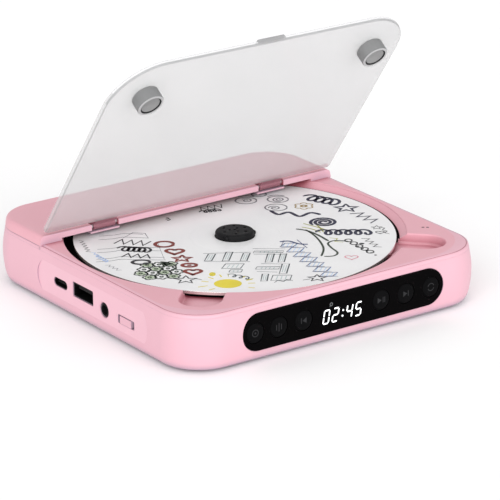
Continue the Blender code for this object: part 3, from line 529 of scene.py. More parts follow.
def mouth(bottom, edge, radius, past):
    """Levels of a cutter that rounds over the edge it comes out of, towards `past`."""
    way = 1 if past > edge else -1
    levels = [(0, bottom)]
    for i in range(FILLET_STEPS + 1):
        turn = pi / 2 * i / FILLET_STEPS
        levels.append((radius * (1 - cos(turn)), edge - way * radius * (1 - sin(turn))))
    return levels + [(radius, past)]


def cushioned(low, high, radius):
    """Levels of a solid whose edges are rounded at both ends."""
    levels = []
    for i in range(FILLET_STEPS + 1):
        turn = pi / 2 * i / FILLET_STEPS
        levels.append((-radius * (1 - sin(turn)), low + radius * (1 - cos(turn))))
    return levels + [(grow, low + high - place) for grow, place in reversed(levels)]


def arc(centre, radius, start, sweep, steps):
    """Points from the angle start through the sweep, both ends included."""
    turns = [start + sweep * i / steps for i in range(steps + 1)]
    return [(centre[0] + radius * cos(t), centre[1] + radius * sin(t)) for t in turns]


def circle(radius, centre=(0, 0), steps=ROUND_STEPS, start=0.0):
    return arc(centre, radius, start, 2 * pi, steps)[:-1]


def rectangle(low_u, high_u, low_v, high_v):
    return [(low_u, low_v), (high_u, low_v), (high_u, high_v), (low_u, high_v)]


def capsule(start, end, radius, steps=20):
    """A slot's outline with round ends, from one end's centre to the other's."""
    run = Vector(end) - Vector(start)
    heading = Vector((1, 0)).angle_signed(run)
    far_end = arc(end, radius, -pi / 2 - heading, pi, steps)
    return far_end + arc(start, radius, pi / 2 - heading, pi, steps)


def rounded_rectangle(half_u, half_v, radius, centre=(0, 0), steps=6):
    points = []
    corners = ((1, 1), (-1, 1), (-1, -1), (1, -1))
    for quarter, (side_u, side_v) in enumerate(corners):
        for i in range(steps + 1):
            turn = pi / 2 * (quarter + i / steps)
            u = side_u * (half_u - radius) + radius * cos(turn)
            v = side_v * (half_v - radius) + radius * sin(turn)
            points.append((centre[0] + u, centre[1] + v))
    return points


def growing(half_u, half_v, radius, centre, steps=4):
    """A flared outline: a rounded rectangle that grows with its corners."""

    def outline(grow):
        return rounded_rectangle(half_u + grow, half_v + grow, radius + grow, centre, steps)

    return outline


def turned(name, profile, *finishes, steps=ROUND_STEPS):
    """A solid of revolution about Z from (radius, height) points in millimetres, bottom to top."""
    rings = [at_height(circle(radius, steps=steps), z) for radius, z in in_metres(profile)]
    return loft(name, rings, *finishes)


def spun_cutter(radius, levels, centre=(0, 0), axis="Z", steps=ROUND_STEPS):
    return flared("cutter", lambda grow: circle(radius + grow, centre, steps), levels, axis)


def well_disc(radius, levels):
    """A wide round shape about the disc's axis."""
    return spun_cutter(radius, levels, steps=WELL_STEPS)


def moved(obj, *matrices):
    for matrix in matrices:
        obj.data.transform(matrix)
    return obj


def combine(target, tool, operation):
    step = target.modifiers.new(operation.lower(), "BOOLEAN")
    step.operation = operation
    step.solver = "EXACT"
    step.object = tool
    graph = bpy.context.evaluated_depsgraph_get()
    result = bpy.data.meshes.new_from_object(target.evaluated_get(graph))
    target.modifiers.clear()
    target.data = result
    bpy.data.objects.remove(tool)
    return target


def cut(target, *tools):
    for tool in tools:
        combine(target, tool, "DIFFERENCE")
    return target


def join(target, *tools):
    for tool in tools:
        combine(target, tool, "UNION")
    return target


def merged(name, pieces, *finishes):
    """Separate shapes put into one object."""
    shape = bmesh.new()
    for piece in pieces:
        shape.from_mesh(piece.data)
        bpy.data.objects.remove(piece)
    return object_from(name, shape, *finishes)


def curve_at(before, start, end, after, t):
    """One coordinate of the smooth curve from start to end, at the share t of the way."""
    bend = 2 * before - 5 * start + 4 * end - after
    twist = 3 * start - before - 3 * end + after
    return 0.5 * (2 * start + (end - before) * t + bend * t * t + twist * t**3)


def smooth_profile(points, steps=4):
    """A curve in metres through the profile's own points, which are in millimetres."""
    ends = [points[0], *points, points[-1]]
    curve = []
    for span in zip(ends, ends[1:], ends[2:], ends[3:]):
        for i in range(steps):
            curve.append(tuple(curve_at(*parts, i / steps) for parts in zip(*span)))
    return in_metres([*curve, points[-1]])


def placed(obj, body, slot, *replaced):
    """Puts a piece on its body and in place of CAD nodes; the slot argument is not used."""
    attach(obj, body)
    if replaced:
        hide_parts(*replaced)


def finished(obj, body, slot, *replaced, angle=32):
    """Smooths a piece, gives it even normals and puts it in its place."""
    obj.data.shade_smooth()
    obj.data.set_sharp_from_angle(angle=radians(angle))
    even = obj.modifiers.new("even_normals", "WEIGHTED_NORMAL")
    even.keep_sharp = True
    placed(obj, body, slot, *replaced)


def paint_faces(obj, index, test):
    """Gives the material slot of that index to each face whose centre and normal pass the test."""
    for face in obj.data.polygons:
        if test(face.center, face.normal):
            face.material_index = index
    return obj


# ---------------------------------------------------------------- case


def front_deck():
    """The cover's flat front part, up to just inside the rear deck."""
    levels = smooth_profile(SIDE_ABOVE_SEAM)[:-1] + smooth_profile(DECK_EDGE)
    levels += in_metres(DECK_GROOVE)
    back = REAR_DECK_FRONT + DECK_OVERLAP
    levels.append((FLAT_DECK_INSET, FRONT_DECK, FLAT_DECK_CORNER))
    rings = [[(x, min(y, back), z) for x, y, z in case_ring(*level)] for level in levels]
    # The flat deck takes the shaded copy of the pink; paint_cover gives the sides the lit copy and
    # the well's foot the black of painted shadow
    return loft("top_cover_shell", rings, "shaded_deck_pink", "pink", "tray_black")


def inset_at(point):
    """How far a point is inside the case's rounded square outline."""
    reach = HALF_SIDE - CORNER_RADIUS
    past = Vector((max(abs(point.x) - reach, 0), max(abs(point.y) - reach, 0)))
    return CORNER_RADIUS - past.length


def case_ring(inset, height, corner=None):
    """The case's outline at that inset, with its own corners unless a radius is given."""
    radius = corner or CORNER_RADIUS - inset
    outline = rounded_rectangle(HALF_SIDE - inset, HALF_SIDE - inset, radius, steps=CORNER_STEPS)
    return at_height(outline, height)


def panel_outline(grow=0.0):
    reach = PANEL_HALF_LENGTH - PANEL_RADIUS
    return capsule((PANEL_X - reach, PANEL_Z), (PANEL_X + reach, PANEL_Z), PANEL_RADIUS + grow)


def port_flat():
    start = (PORT_PANEL_Y[0] + PORT_PANEL_RADIUS, PORT_PANEL_Z)
    end = (PORT_PANEL_Y[1] - PORT_PANEL_RADIUS, PORT_PANEL_Z)
    return capsule(start, end, PORT_PANEL_RADIUS)


def usb_c_outline(radius):
    reach = 2.9 * MM
    return capsule((USB_C[0] - reach, USB_C[1]), (USB_C[0] + reach, USB_C[1]), radius, 12)


def port_openings():
    """The holes for the sockets and the switch, with their small lead-in edges."""
    inside, outside = PORT_WALL
    levels = mouth(inside, PORT_FACE, 0.15 * MM, outside)
    return [
        flared("usb_c", lambda grow: usb_c_outline(1.65 * MM + grow), levels, "X"),
        flared("usb_a", growing(6.8 * MM, 2.85 * MM, 0.5 * MM, USB_A), levels, "X"),
        flared("switch", growing(5.25 * MM, 1.6 * MM, 0.4 * MM, SWITCH), levels, "X"),
        spun_cutter(2.8 * MM, mouth(inside, PORT_FACE, 0.45 * MM, outside), JACK, "X"),
    ]


def grille_holes(side):
    """Sound holes under one speaker: a middle hole with rings round it."""
    holes = []
    middle = (side * SPEAKER_XY[0], SPEAKER_XY[1])
    for count, ring in GRILLE:
        for centre in circle(ring * MM, middle, count):
            holes.append(spun_cutter(GRILLE_HOLE, straight(0, 4 * MM), centre, steps=12))
    return holes


def four_corners(xy):
    return [(side_x * xy[0], side_y * xy[1]) for side_x in SIDES for side_y in SIDES]


def underside_recesses():
    recesses = []
    for places, (radius, depth), steps in (
        (FOOT_XY, FOOT_RECESS, ROUND_STEPS),
        (SCREW_XY, SCREW_RECESS, 24),
    ):
        for xy in four_corners(places):
            recesses.append(spun_cutter(radius, straight(0, depth), xy, steps=steps))
    return recesses + grille_holes(-1) + grille_holes(1)


def bottom_case():
    levels = smooth_profile(CASE_PROFILE)
    case = loft("bottom_case_shell", [case_ring(*level) for level in levels], "pink", "lit_port_pink")
    inner_corner = CORNER_RADIUS - HALF_SIDE + CAVITY_HALF
    inside = rounded_rectangle(CAVITY_HALF, CAVITY_HALF, inner_corner, steps=CORNER_STEPS)
    cut(case, prism(inside, straight(CAVITY_FLOOR, 30 * MM)))
    cut(case, merged("recesses", underside_recesses()))
    outside = -70 * MM
    cut(case, prism(panel_outline(PANEL_CLEARANCE), straight(outside, PANEL_SEAT), "Y"))
    cut(case, prism(panel_outline(-PANEL_LEDGE), straight(outside, -60 * MM), "Y"))
    cut(case, prism(port_flat(), straight(outside, PORT_FACE), "X"))
    cut(case, merged("openings", port_openings()))

    def on_port_flat(centre, normal):
        return normal.x < -0.99 and abs(centre.x - PORT_FACE) < SAME_PLANE

    # The flat facet gets the lighter pink as painted light
    paint_faces(case, 1, on_port_flat)
    finished(case, "case", "pink_plastic", "bottom_case")
    seam_tongue()


def seam_tongue():
    """The lip inside the parting line that the cover closes over."""
    section = ((1.5, 19.6), (1.5, 20.95), (2.3, 20.95), (2.3, 19.6))
    rings = [case_ring(*level) for level in in_metres(section)]
    finished(hoop("seam_tongue", rings, "pink"), "case", "pink_plastic")


def slot_outline(side, grow=0.0):
    start = (side * SLOT_START[0], SLOT_START[1])
    return capsule(start, (side * SLOT_END[0], SLOT_END[1]), SLOT_RADIUS + grow)


def rear_deck():
    """The raised back part of the cover, with a rounded front step."""
    step_radius = 0.5 * MM
    side = smooth_profile(SIDE_ABOVE_SEAM) + in_metres(REAR_GROOVE) + smooth_profile(REAR_EDGE)
    rings = []
    for inset, height in side:
        rise = min(max(0.0, height - (REAR_DECK - step_radius)), step_radius)
        front = REAR_DECK_FRONT + step_radius - (step_radius**2 - rise**2) ** 0.5
        rings.append([(x, max(y, front), z) for x, y, z in case_ring(inset, height)])
    return loft("rear_deck", rings)


def finger_slot_cutter(side):
    """A slot with a dished floor and soft edges where it breaks the deck."""
    levels = stepped(SLOT_DISH, SLOT_FLOOR)
    levels += mouth(SLOT_FLOOR + 1.1 * MM, FRONT_DECK, 0.6 * MM, ABOVE_DECKS)
    return flared("slot", lambda grow: slot_outline(side, grow), levels)


def hinge_pocket(side):
    low_x, high_x = sorted(side * x for x in POCKET_X)
    centre = ((low_x + high_x) / 2, (POCKET_FRONT + POCKET_BACK) / 2)
    half = ((high_x - low_x) / 2, (POCKET_BACK - POCKET_FRONT) / 2)
    levels = mouth(REAR_DECK_UNDERSIDE - 1 * MM, REAR_DECK, 0.25 * MM, ABOVE_DECKS)
    return flared("pocket", growing(*half, 0.6 * MM, centre, 6), levels)


def well_cutter():
    """The disc's space: its wall leans in and to the left at the foot, and its rim is rounded."""
    foot = circle(WELL_FOOT_RADIUS, WELL_FOOT_CENTRE, WELL_STEPS)
    rings = [at_height(foot, height) for height in (5 * MM, WELL_FOOT_SHADOW_BAND[1])]
    for grow, height in mouth(0, FRONT_DECK, WELL_RIM_ROUNDING, REAR_DECK_UNDERSIDE)[1:]:
        rings.append(at_height(circle(WELL_RADIUS + grow, steps=WELL_STEPS), height))
    return loft("well", rings)


def slot_tongue(side, levels, reach):
    """The part of a finger slot that comes in below the well's wall, up to the reach given."""
    tongue = prism(slot_outline(side, TONGUE_WALL), straight(*levels))
    return cut(tongue, well_disc(reach, THROUGH))


def hinge_shelf(side):
    """The thin floor of a hinge notch, below the knuckle."""
    low_x, high_x = sorted(side * x for x in POCKET_X)
    front, back = REAR_DECK_FRONT + 0.15 * MM, POCKET_BACK + SHELF_OVERLAP
    outline = rectangle(low_x - SHELF_OVERLAP, high_x + SHELF_OVERLAP, front, back)
    return prism(outline, straight(*SHELF_LEVELS), "Z", "pink")


def paint_cover(cover):
    """Paints the sides, the deck's sloping edges and the rear deck's step in the case's paler pink,
    the lit copy beside the deck's shaded one, and the well's foot black as painted shadow.
    """

    def beyond_flat(centre, normal):
        inset = inset_at(centre)
        if centre.y > REAR_DECK_FRONT:
            return inset < 2.9 * MM and centre.z < REAR_GROOVE[0][1] * MM
        beyond_well = Vector(centre[:2]).length > WELL_RADIUS + 0.5 * MM
        in_groove = DECK_GROOVE[0][0] < inset / MM < DECK_GROOVE[-1][0]
        below_deck = centre.z < FRONT_DECK - SAME_PLANE
        return beyond_well and not in_groove and inset < 7 * MM and below_deck

    def step_face(centre, normal):
        at_step = abs(centre.y - REAR_DECK_FRONT) < 1 * MM and centre.z > FRONT_DECK
        return normal.y < -0.5 and at_step

    def painted_foot_shadow(centre, normal):
        out = Vector(centre[:2])
        inward = normal.xy.dot(out.normalized()) < -0.9
        at_wall = abs(out.length - WELL_FOOT_RADIUS) < 2 * MM
        return inward and at_wall and WELL_FOOT_SHADOW_BAND[0] < centre.z < WELL_FOOT_SHADOW_BAND[1]

    paint_faces(cover, 1, beyond_flat)
    paint_faces(cover, 1, step_face)
    # Painted shadow: the band of the well wall's foot next to the disc's edge is painted black
    paint_faces(cover, 2, painted_foot_shadow)


def top_cover():
    cover = front_deck()
    ring_levels = straight(WELL_WALL_BOTTOM, WELL_RING_TOP)
    join(cover, rear_deck(), well_disc(WELL_RADIUS + WELL_WALL, ring_levels))
    for side in SIDES:
        outline = slot_outline(side, SLOT_CUP_WALL)
        join(cover, prism(outline, straight(SLOT_CUP_BOTTOM, WELL_RING_TOP)))
    below_wall = straight(10 * MM, WELL_WALL_BOTTOM)
    cut(cover, well_disc(TRAY_RADIUS + TRAY_CLEARANCE, below_wall), well_cutter())
    for side in SIDES:
        join(cover, slot_tongue(side, TONGUE_LEVELS, TONGUE_REACH))
        join(cover, slot_tongue(side, TONGUE_SIDE_LEVELS, TONGUE_SIDE_REACH))
        cut(cover, finger_slot_cutter(side), hinge_pocket(side))
    through = straight(15 * MM, 30 * MM)
    holes = [spun_cutter(INDICATOR_HOLE, through, xy, steps=16) for xy in INDICATOR_XY]
    cut(cover, merged("lights", holes))
    paint_cover(cover)
    finished(cover, "case", "pink_plastic", "top_cover")
    shelves = merged("hinge_shelves", [hinge_shelf(side) for side in SIDES], "pink")
    finished(shelves, "case", "pink_plastic")


def indicator_lights():
    """Two clear pins that end flush with the deck, on one bar below it."""
    levels = [(0, 20 * MM), (0, FRONT_DECK - 0.15 * MM), (-0.12 * MM, FRONT_DECK)]
    pieces = [spun_cutter(INDICATOR_PIN, levels, xy, steps=16) for xy in INDICATOR_XY]
    bar_levels = cushioned(19.2 * MM, 20.5 * MM, 0.2 * MM)
    pieces.append(flared("bar", lambda g: capsule(*INDICATOR_XY, INDICATOR_BAR + g, 8), bar_levels))
    lights = merged("indicator_pins", pieces, "light_pipe")
    finished(lights, "case", "light_pipe", "indicator_light")


def disc_tray():
    """The black pan under the disc, with its ribs, the spindle hole and the lens window."""
    tray = well_disc(TRAY_RADIUS, straight(TRAY_UNDERSIDE, TRAY_TOP))
    tray.name = "disc_tray_pan"
    tray.data.materials.append(FINISH["tray_black"])
    pan = stepped(((-0.8, 0), (-0.2, 0.2), (0, 0.8)), TRAY_FLOOR) + [(0, 30 * MM)]
    cut(tray, well_disc(TRAY_RADIUS - TRAY_WALL, pan))
    for side in SIDES:
        outline = slot_outline(side, NOTCH_CLEARANCE)
        cut(tray, prism(outline, straight(NOTCH_FLOOR, 30 * MM)))
    window = rounded_rectangle(*LENS_WINDOW, (LENS_WINDOW_X, 0))
    cut(tray, spun_cutter(SPINDLE_HOLE, THROUGH), prism(window, THROUGH))
    finished(tray, "case", "black_plastic", "disc_tray")


# ---------------------------------------------------------------- lid


def open_lid(obj):
    """Turns a piece that was shaped with the lid closed to where it is at rest."""
    turn = Matrix.Rotation(-LID_OPEN, 4, "X")
    return moved(obj, Matrix.Translation(HINGE) @ turn @ Matrix.Translation(-HINGE))


def lid_outline(grow):
    corners = (
        (1, LID_FRONT, LID_CORNER, -pi / 2),
        (1, LID_REAR, LID_REAR_CORNER, 0),
        (-1, LID_REAR, LID_REAR_CORNER, pi / 2),
        (-1, LID_FRONT, LID_CORNER, pi),
    )
    points = []
    for side, y, radius, start in corners:
        centre = (side * (LID_HALF_WIDTH - radius), y - radius if y > 0 else y + radius)
        steps = CORNER_STEPS if radius == LID_CORNER else 5
        points += arc(centre, radius + grow, start, pi / 2, steps)
    return points


def lid_knuckle(side):
    """One hinge tab that rolls into a knuckle, and the bore for its pin."""
    low_x, high_x = sorted(side * x for x in KNUCKLE_X)
    outline = rectangle(low_x, high_x, LID_REAR - 2 * MM, HINGE.y)
    tab = prism(outline, straight(LID_INNER + 0.1 * MM, LID_INNER + 1.4 * MM))
    centre = (HINGE.y, HINGE.z)
    knuckle = spun_cutter(KNUCKLE_RADIUS, cushioned(low_x, high_x, 0.2 * MM), centre, "X", 24)
    bore = spun_cutter(KNUCKLE_BORE, straight(low_x - 1 * MM, high_x + 1 * MM), centre, "X", 16)
    return join(tab, knuckle), bore


def lid_levels():
    """The pane's edge from the inner face out: a wide bevel, the rim and a small outer bevel."""
    return stepped(LID_INNER_BEVEL, LID_INNER) + stepped(LID_OUTER_BEVEL, LID_OUTER, -1)


def paint_lid_edges(sheet):
    """Paints the edges with the photo's light: painted highlights on the rims, and painted shade
    lines on the bevels and lip.
    """
    ahead_of_hinge = LID_REAR - 3 * MM

    def at_side(normal):
        return abs(normal.x) > 0.93

    def painted_highlight_rim(centre, normal):
        return abs(normal.z) < 0.2 and centre.y < ahead_of_hinge and not at_side(normal)

    def painted_shade_edge(centre, normal):
        side_bevel = at_side(normal) and normal.z > 0.2
        front_bevel = not at_side(normal) and -0.95 < normal.z < -0.2
        return centre.y < ahead_of_hinge and (side_bevel or front_bevel)

    def lip(centre, normal):
        raised = centre.y < LID_FRONT + 2.2 * MM and centre.z > LID_OUTER + 0.02 * MM
        return raised or centre.y < LID_FRONT - SAME_PLANE

    # Painted light on the pane's edges: a highlight on the rims, and painted shade on the bevels
    # and lip
    paint_faces(sheet, 1, painted_highlight_rim)
    paint_faces(sheet, 2, painted_shade_edge)
    paint_faces(sheet, 2, lip)
    near_hinge = LID_REAR - 0.6 * MM
    # The knuckles get the maroon of painted shade from the pocket behind them
    paint_faces(sheet, 3, lambda centre, normal: centre.y > near_hinge)


def lid_sheet():
    """The clear pane with its lip and knuckles."""
    finishes = ("acrylic", "acrylic_rim", "acrylic_line", "acrylic_knuckle")
    sheet = flared("lid_pane", lid_outline, lid_levels(), "Z", *finishes)

    def lip_outline(grow):
        return rounded_rectangle(LIP_HALF[0] + grow, LIP_HALF[1] + grow, 0.6 * MM, (0, LIP_Y))

    lip_levels = cushioned(LID_INNER + 0.2 * MM, LID_OUTER + 0.3 * MM, 0.2 * MM)
    join(sheet, flared("lip", lip_outline, lip_levels))
    for side in SIDES:
        tab, bore = lid_knuckle(side)
        cut(join(sheet, tab), bore)
    paint_lid_edges(sheet)
    finished(open_lid(sheet), "lid", "clear_acrylic", "lid")


def lid_post(label, side):
    """A round post with a chamfered rim and a groove round its mouth, with a painted highlight on
    the rim and painted shade in the groove.
    """
    place = Matrix.Translation((side * POST_XY[0], POST_XY[1], 0))
    profile = ((3.95, 20.6), (3.95, 18.75), (4.15, 18.6), (4.75, 18.6), (5.05, 18.72), (5.2, 19.0))
    profile += ((5.2, 23.3), (5.0, 23.6), (4.6, 23.75))
    body = turned(f"post_{label}", profile, "post", "post_edge", "post_groove", steps=64)
    rim_height, groove_height, groove_radius = 19.1 * MM, 20.7 * MM, 4.3 * MM

    def in_groove(centre, normal):
        return Vector(centre[:2]).length < groove_radius and centre.z < groove_height

    # Painted highlight on the rim's chamfer and painted shade in the groove round the mouth
    paint_faces(body, 1, lambda centre, normal: normal.z < -0.5 and centre.z < rim_height)
    paint_faces(body, 2, in_groove)
    finished(open_lid(moved(body, place)), "lid", "grey_plastic", f"lid_post_{label}")
    profile = ((3.7, 20.4), (3.7, 19.05), (3.55, 18.9), (3.1, 18.9), (3.0, 18.95))
    profile += ((0.4, 18.95), (0.1, 18.98))
    magnet = turned(f"magnet_{label}", profile, "magnet", steps=64)
    finished(open_lid(moved(magnet, place)), "lid", "magnet_plating", f"lid_magnet_{label}")


# ---------------------------------------------------------------- disc and hub


def disc():
    """The platter, with rounded edges and a fine groove round its clear middle."""
    edge = 0.12 * MM
    outer = [(DISC_RADIUS + g, z) for g, z in cushioned(DISC_BOTTOM, DISC_TOP, edge)]
    inner = [(DISC_BORE - g, z) for g, z in reversed(cushioned(DISC_BOTTOM, DISC_TOP, edge))]
    profile = outer + stepped(DISC_GROOVE, DISC_TOP, -1) + inner
    rings = [at_height(circle(radius, steps=WELL_STEPS), height) for radius, height in profile]
    platter = hoop("printed_disc", rings, "mirror", "print")
    paint_faces(platter, 1, lambda centre, normal: normal.z > 0.6)
    finished(platter, "turntable", "disc_print", "disc", angle=25)


# The hub's dimples: count, radius of their ring, their own radius, angle of the first
DIMPLES = ((6, 4.5, 0.62, 0), (3, 2.0, 0.6, 30), (1, 0.0, 0.5, 0))


def hub():
    """The turntable and its centring cap, with three ball windows and a dimpled top."""
    profile = ((1.0, 7.0), (1.0, 14.4), (5.0, 14.4), (5.0, 18.3), (12.8, 18.3), (13.0, 18.5))
    profile += ((13.0, 19.3), (12.8, 19.5), (7.35, 19.5), (7.3, 19.6), (7.3, 22.3), (7.15, 22.75))
    profile += ((6.85, 23.05), (6.3, 23.25), (5.6, 23.3))
    body = turned("hub_cap", profile, "black", steps=72)
    windows = []
    for i in range(3):
        window = spun_cutter(BALL_WINDOW, straight(5 * MM, 9 * MM), (0, BALL_Z), "X", 20)
        windows.append(moved(window, Matrix.Rotation(radians(90 + 120 * i), 4, "Z")))
    dimples = []
    levels = straight(22.5 * MM, 25 * MM)
    for count, ring, radius, start in DIMPLES:
        for centre in circle(ring * MM, steps=count, start=radians(start)):
            dimples.append(spun_cutter(radius * MM, levels, centre, steps=16))
    cut(body, merged("windows", windows), merged("dimples", dimples))
    finished(body, "turntable", "black_plastic", "spindle_hub")


def chuck_balls():
    for i in range(3):
        node = f"chuck_ball_{i + 1}"
        low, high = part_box(node)
        shape = bmesh.new()
        bmesh.ops.create_icosphere(shape, subdivisions=3, radius=(high.z - low.z) / 2)
        ball = object_from(f"ball_{i + 1}", shape, "black")
        moved(ball, Matrix.Translation(cad_middle(node)))
        finished(ball, node, "steel", node, angle=180)


# ---------------------------------------------------------------- disc artwork

ART_TURN = radians(-35)  # how the disc lies: the artwork's own right, in the player's frame
ART_LIFT, ART_LAYER, ART_FILM = 0.02 * MM, 0.004 * MM, 0.015 * MM


def ribbon(shape, points, width):
    """Adds a flat stroke with tapered ends that follows the points."""
    path = [Vector(point) for point in points]
    left, right = [], []
    last = len(path) - 1
    for i, point in enumerate(path):
        heading = (path[min(i + 1, last)] - path[max(i - 1, 0)]).normalized()
        side = Vector((-heading.y, heading.x))
        half = width / 2 * (0.45 if i in (0, last) else 1.0)
        left.append(shape.verts.new((*(point + side * half), 0)))
        right.append(shape.verts.new((*(point - side * half), 0)))
    for i in range(last):
        shape.faces.new((left[i], right[i], right[i + 1], left[i + 1]))


def curve_through(points):
    return [(u / MM, v / MM) for u, v in smooth_profile(points, steps=6)]


class Ink:
    """Strokes of one colour in millimetres on the disc, in the artwork's own frame."""

    def __init__(self, colour, width):
        self.colour = colour
        self.width = width
        self.shape = bmesh.new()

    def line(self, *points, width=None):
        ribbon(self.shape, points, width or self.width)
        return self

    def wave(self, *points, width=None):
        return self.line(*curve_through(points), width=width)

    def trace(self, steps, place, width=None):
        """A stroke through place(share), as the share runs from 0 to 1."""
        return self.line(*(place(i / steps) for i in range(steps + 1)), width=width)

    def around(self, centre, steps, reach, start=0.0, turns=1.0, squash=1.0):
        """A stroke round the centre, at the distance reach(share) from it."""

        def place(share):
            t = start + 2 * pi * turns * share
            return centre[0] + reach(share) * cos(t), centre[1] + squash * reach(share) * sin(t)

        return self.trace(steps, place)

    def loop(self, centre, half_u, half_v):
        return self.around(centre, 26, lambda share: half_u, squash=half_v / half_u)

    def flower(self, centre, radius, petals=5, turn=0.0):
        def reach(share):
            return radius * (0.72 + 0.28 * abs(sin(pi * petals * share)))

        self.around(centre, petals * 10, reach, turn)
        return self.loop(centre, radius * 0.22, radius * 0.22)

    def star(self, centre, radius):
        def reach(share):
            return radius * (0.42 if round(10 * share) % 2 else 1.0)

        return self.around(centre, 10, reach, pi / 2)

    def spiral(self, centre, radius, turns=2.5):
        steps = int(turns * 18)
        return self.around(centre, steps, lambda share: radius * (0.15 + 0.85 * share), turns=turns)

    def heart(self, centre, size):
        def place(share):
            t = 2 * pi * share
            u = 16 * sin(t) ** 3
            v = 13 * cos(t) - 5 * cos(2 * t) - 2 * cos(3 * t) - cos(4 * t)
            return centre[0] + size * u / 32, centre[1] + size * v / 32

        return self.trace(32, place)

    def zigzag(self, start, end, teeth, height, width=None):
        run = Vector(end) - Vector(start)
        side = Vector((-run.y, run.x)).normalized() * height / 2

        def place(share):
            return Vector(start) + run * share + (side if round(teeth * share) % 2 else -side)

        return self.trace(teeth, place, width)

    def coil(self, start, end, turns, height, width=None):
        """A looping scribble along a line."""
        run = Vector(end) - Vector(start)
        ahead = run.normalized() * height * 0.36
        across = Vector((-ahead.y, ahead.x)).normalized() * height / 2

        def place(share):
            t = 2 * pi * turns * share
            return Vector(start) + run * share + across * sin(t) - ahead * cos(t)

        return self.trace(turns * 14, place, width)

    def box(self, centre, half_u, half_v, lean=0.0):
        corners = ((-1, -1), (1, -1), (1, 1), (-1, 1), (-1, -1.12))
        outline = [(centre[0] + half_u * u + lean * v, centre[1] + half_v * v) for u, v in corners]
        return self.line(*outline)

    def hatch(self, centre, half_u, half_v, count, lean=0.0):
        """Parallel strokes that fill a box."""
        for i in range(count):
            u = centre[0] + half_u * (2 * (i + 0.5) / count - 1)
            self.line((u - lean, centre[1] - half_v), (u + lean, centre[1] + half_v))
        return self

    def blot(self, centre, half_u, half_v):
        rim = circle(1.0, steps=32)
        points = [(centre[0] + half_u * u, centre[1] + half_v * v, 0) for u, v in rim]
        self.shape.faces.new([self.shape.verts.new(point) for point in points])
        return self

    def print_on_disc(self, name, layer):
        obj = object_from(name, self.shape, f"ink_{self.colour}")
        lift = Matrix.Translation((0, 0, DISC_TOP + ART_LIFT + ART_LAYER * layer))
        moved(obj, lift @ Matrix.Rotation(ART_TURN, 4, "Z") @ Matrix.Scale(MM, 4))
        film = obj.modifiers.new("film", "SOLIDIFY")
        film.thickness = ART_FILM
        film.offset = 0
        placed(obj, "turntable", "disc_print")


def dark_strokes():
    """Bold felt-pen scribbles on the left, and two stars."""
    black = Ink("black", 1.35)
    black.zigzag((-44, -5.4), (-31.5, -8.2), 7, 5.0)
    black.coil((-41.5, -13.4), (-31.5, -15.2), 5, 4.8, width=1.0)
    black.zigzag((-41, -20.4), (-30.5, -22.2), 6, 4.0).loop((-34, -28), 3.2, 2.2)
    black.zigzag((-13.5, 29.5), (-4.5, 33.5), 7, 4.0, width=0.9)
    black.coil((-12.5, 26.6), (-5.6, 29), 4, 2.6, width=0.7)
    black.print_on_disc("scribbles_black", 5)
    stars = Ink("black", 0.75)
    stars.star((-17.5, -46.6), 4.2).star((29.6, -46), 3.6)
    stars.line((-23.5, -44.5), (-21, -45.8)).line((-14.5, -45.4), (-11.8, -46.6))
    stars.line((24.5, -48), (27, -47))
    stars.print_on_disc("stars_black", 5)


def navy_strokes():
    """Bold looping strokes on the disc's right half."""
    navy = Ink("navy", 1.3)
    navy.coil((28, 42.6), (39, 36), 4, 6.4).star((42.2, 29.6), 4.8)
    navy.zigzag((45.4, 24.4), (52.8, 13.6), 6, 4.8)
    crest = ((13.4, 27.6), (16.4, 23), (20.4, 25.4), (24.4, 20.6), (28.6, 24.6), (32.4, 22.4))
    navy.wave(*crest, width=1.5)
    navy.spiral((33.4, 13.8), 5.2, 2.6).coil((32, 2.6), (50.5, 2.4), 5, 5.4)
    navy.print_on_disc("scribbles_navy", 6)


def brown_strokes():
    brown = Ink("brown", 1.5)
    brown.loop((-26, -9), 3.4, 3.0).heart((-22, -17), 6.4).star((-19.2, -24.6), 3.8)
    brown.loop((-16.4, -31.6), 2.6, 1.8).blot((-16.4, -31.6), 0.9, 0.7).heart((-15, -38.6), 6.0)
    brown.print_on_disc("scribbles_brown", 4)


def leaf_cluster():
    """A bunch of small scalloped flowers with pale fills."""
    spots = []
    for row in range(4):
        for place in range(3 if row % 2 else 4):
            u = -36 + 4.3 * place + 2.2 * (row % 2) + 1.1 * row
            spots.append((u, -31.6 - 4.1 * row + 0.5 * place))
    fill = Ink("leaf", 0.5)
    for spot in spots[1::2]:
        fill.blot(spot, 1.7, 1.7)
    fill.print_on_disc("flowers_fill", 1)
    outline = Ink("moss", 0.62)
    for i, spot in enumerate(spots[1:]):
        outline.flower(spot, 2.5, 5 + i % 2, 0.5 * i)
    outline.spiral((-25, -30.2), 1.9).wave((-27, -27.6), (-24, -28.8), (-21.5, -32), (-21.2, -36))
    outline.print_on_disc("flowers_outline", 3)


def sun():
    """A yellow sun with short rays, and a leaf above it."""
    yellow = Ink("yellow", 1.1)
    yellow.blot((-2.4, -51), 5.0, 4.5).blot((-8, -41.2), 1.2, 2.0)
    for spread in (-74, -46, -18, 40, 64, 88):
        turn = radians(90 - spread)
        yellow.line(*[(-2.4 + reach * cos(turn), -51 + reach * sin(turn)) for reach in (7.2, 9.8)])
    yellow.line((-13, -54.2), (-9.6, -53)).line((-9, -57.2), (-7, -55.8))
    yellow.line((5, -55), (7.2, -55.6))
    yellow.print_on_disc("sun_disc", 2)
    shade_ink = Ink("olive", 0.55)
    shade_ink.line((-8.8, -42.8), (-7.2, -39.6)).line((4.4, -47.2), (6.8, -45.8))
    shade_ink.line((-2.2, -43.8), (-2.4, -40.8))
    shade_ink.print_on_disc("sun_shade", 3)


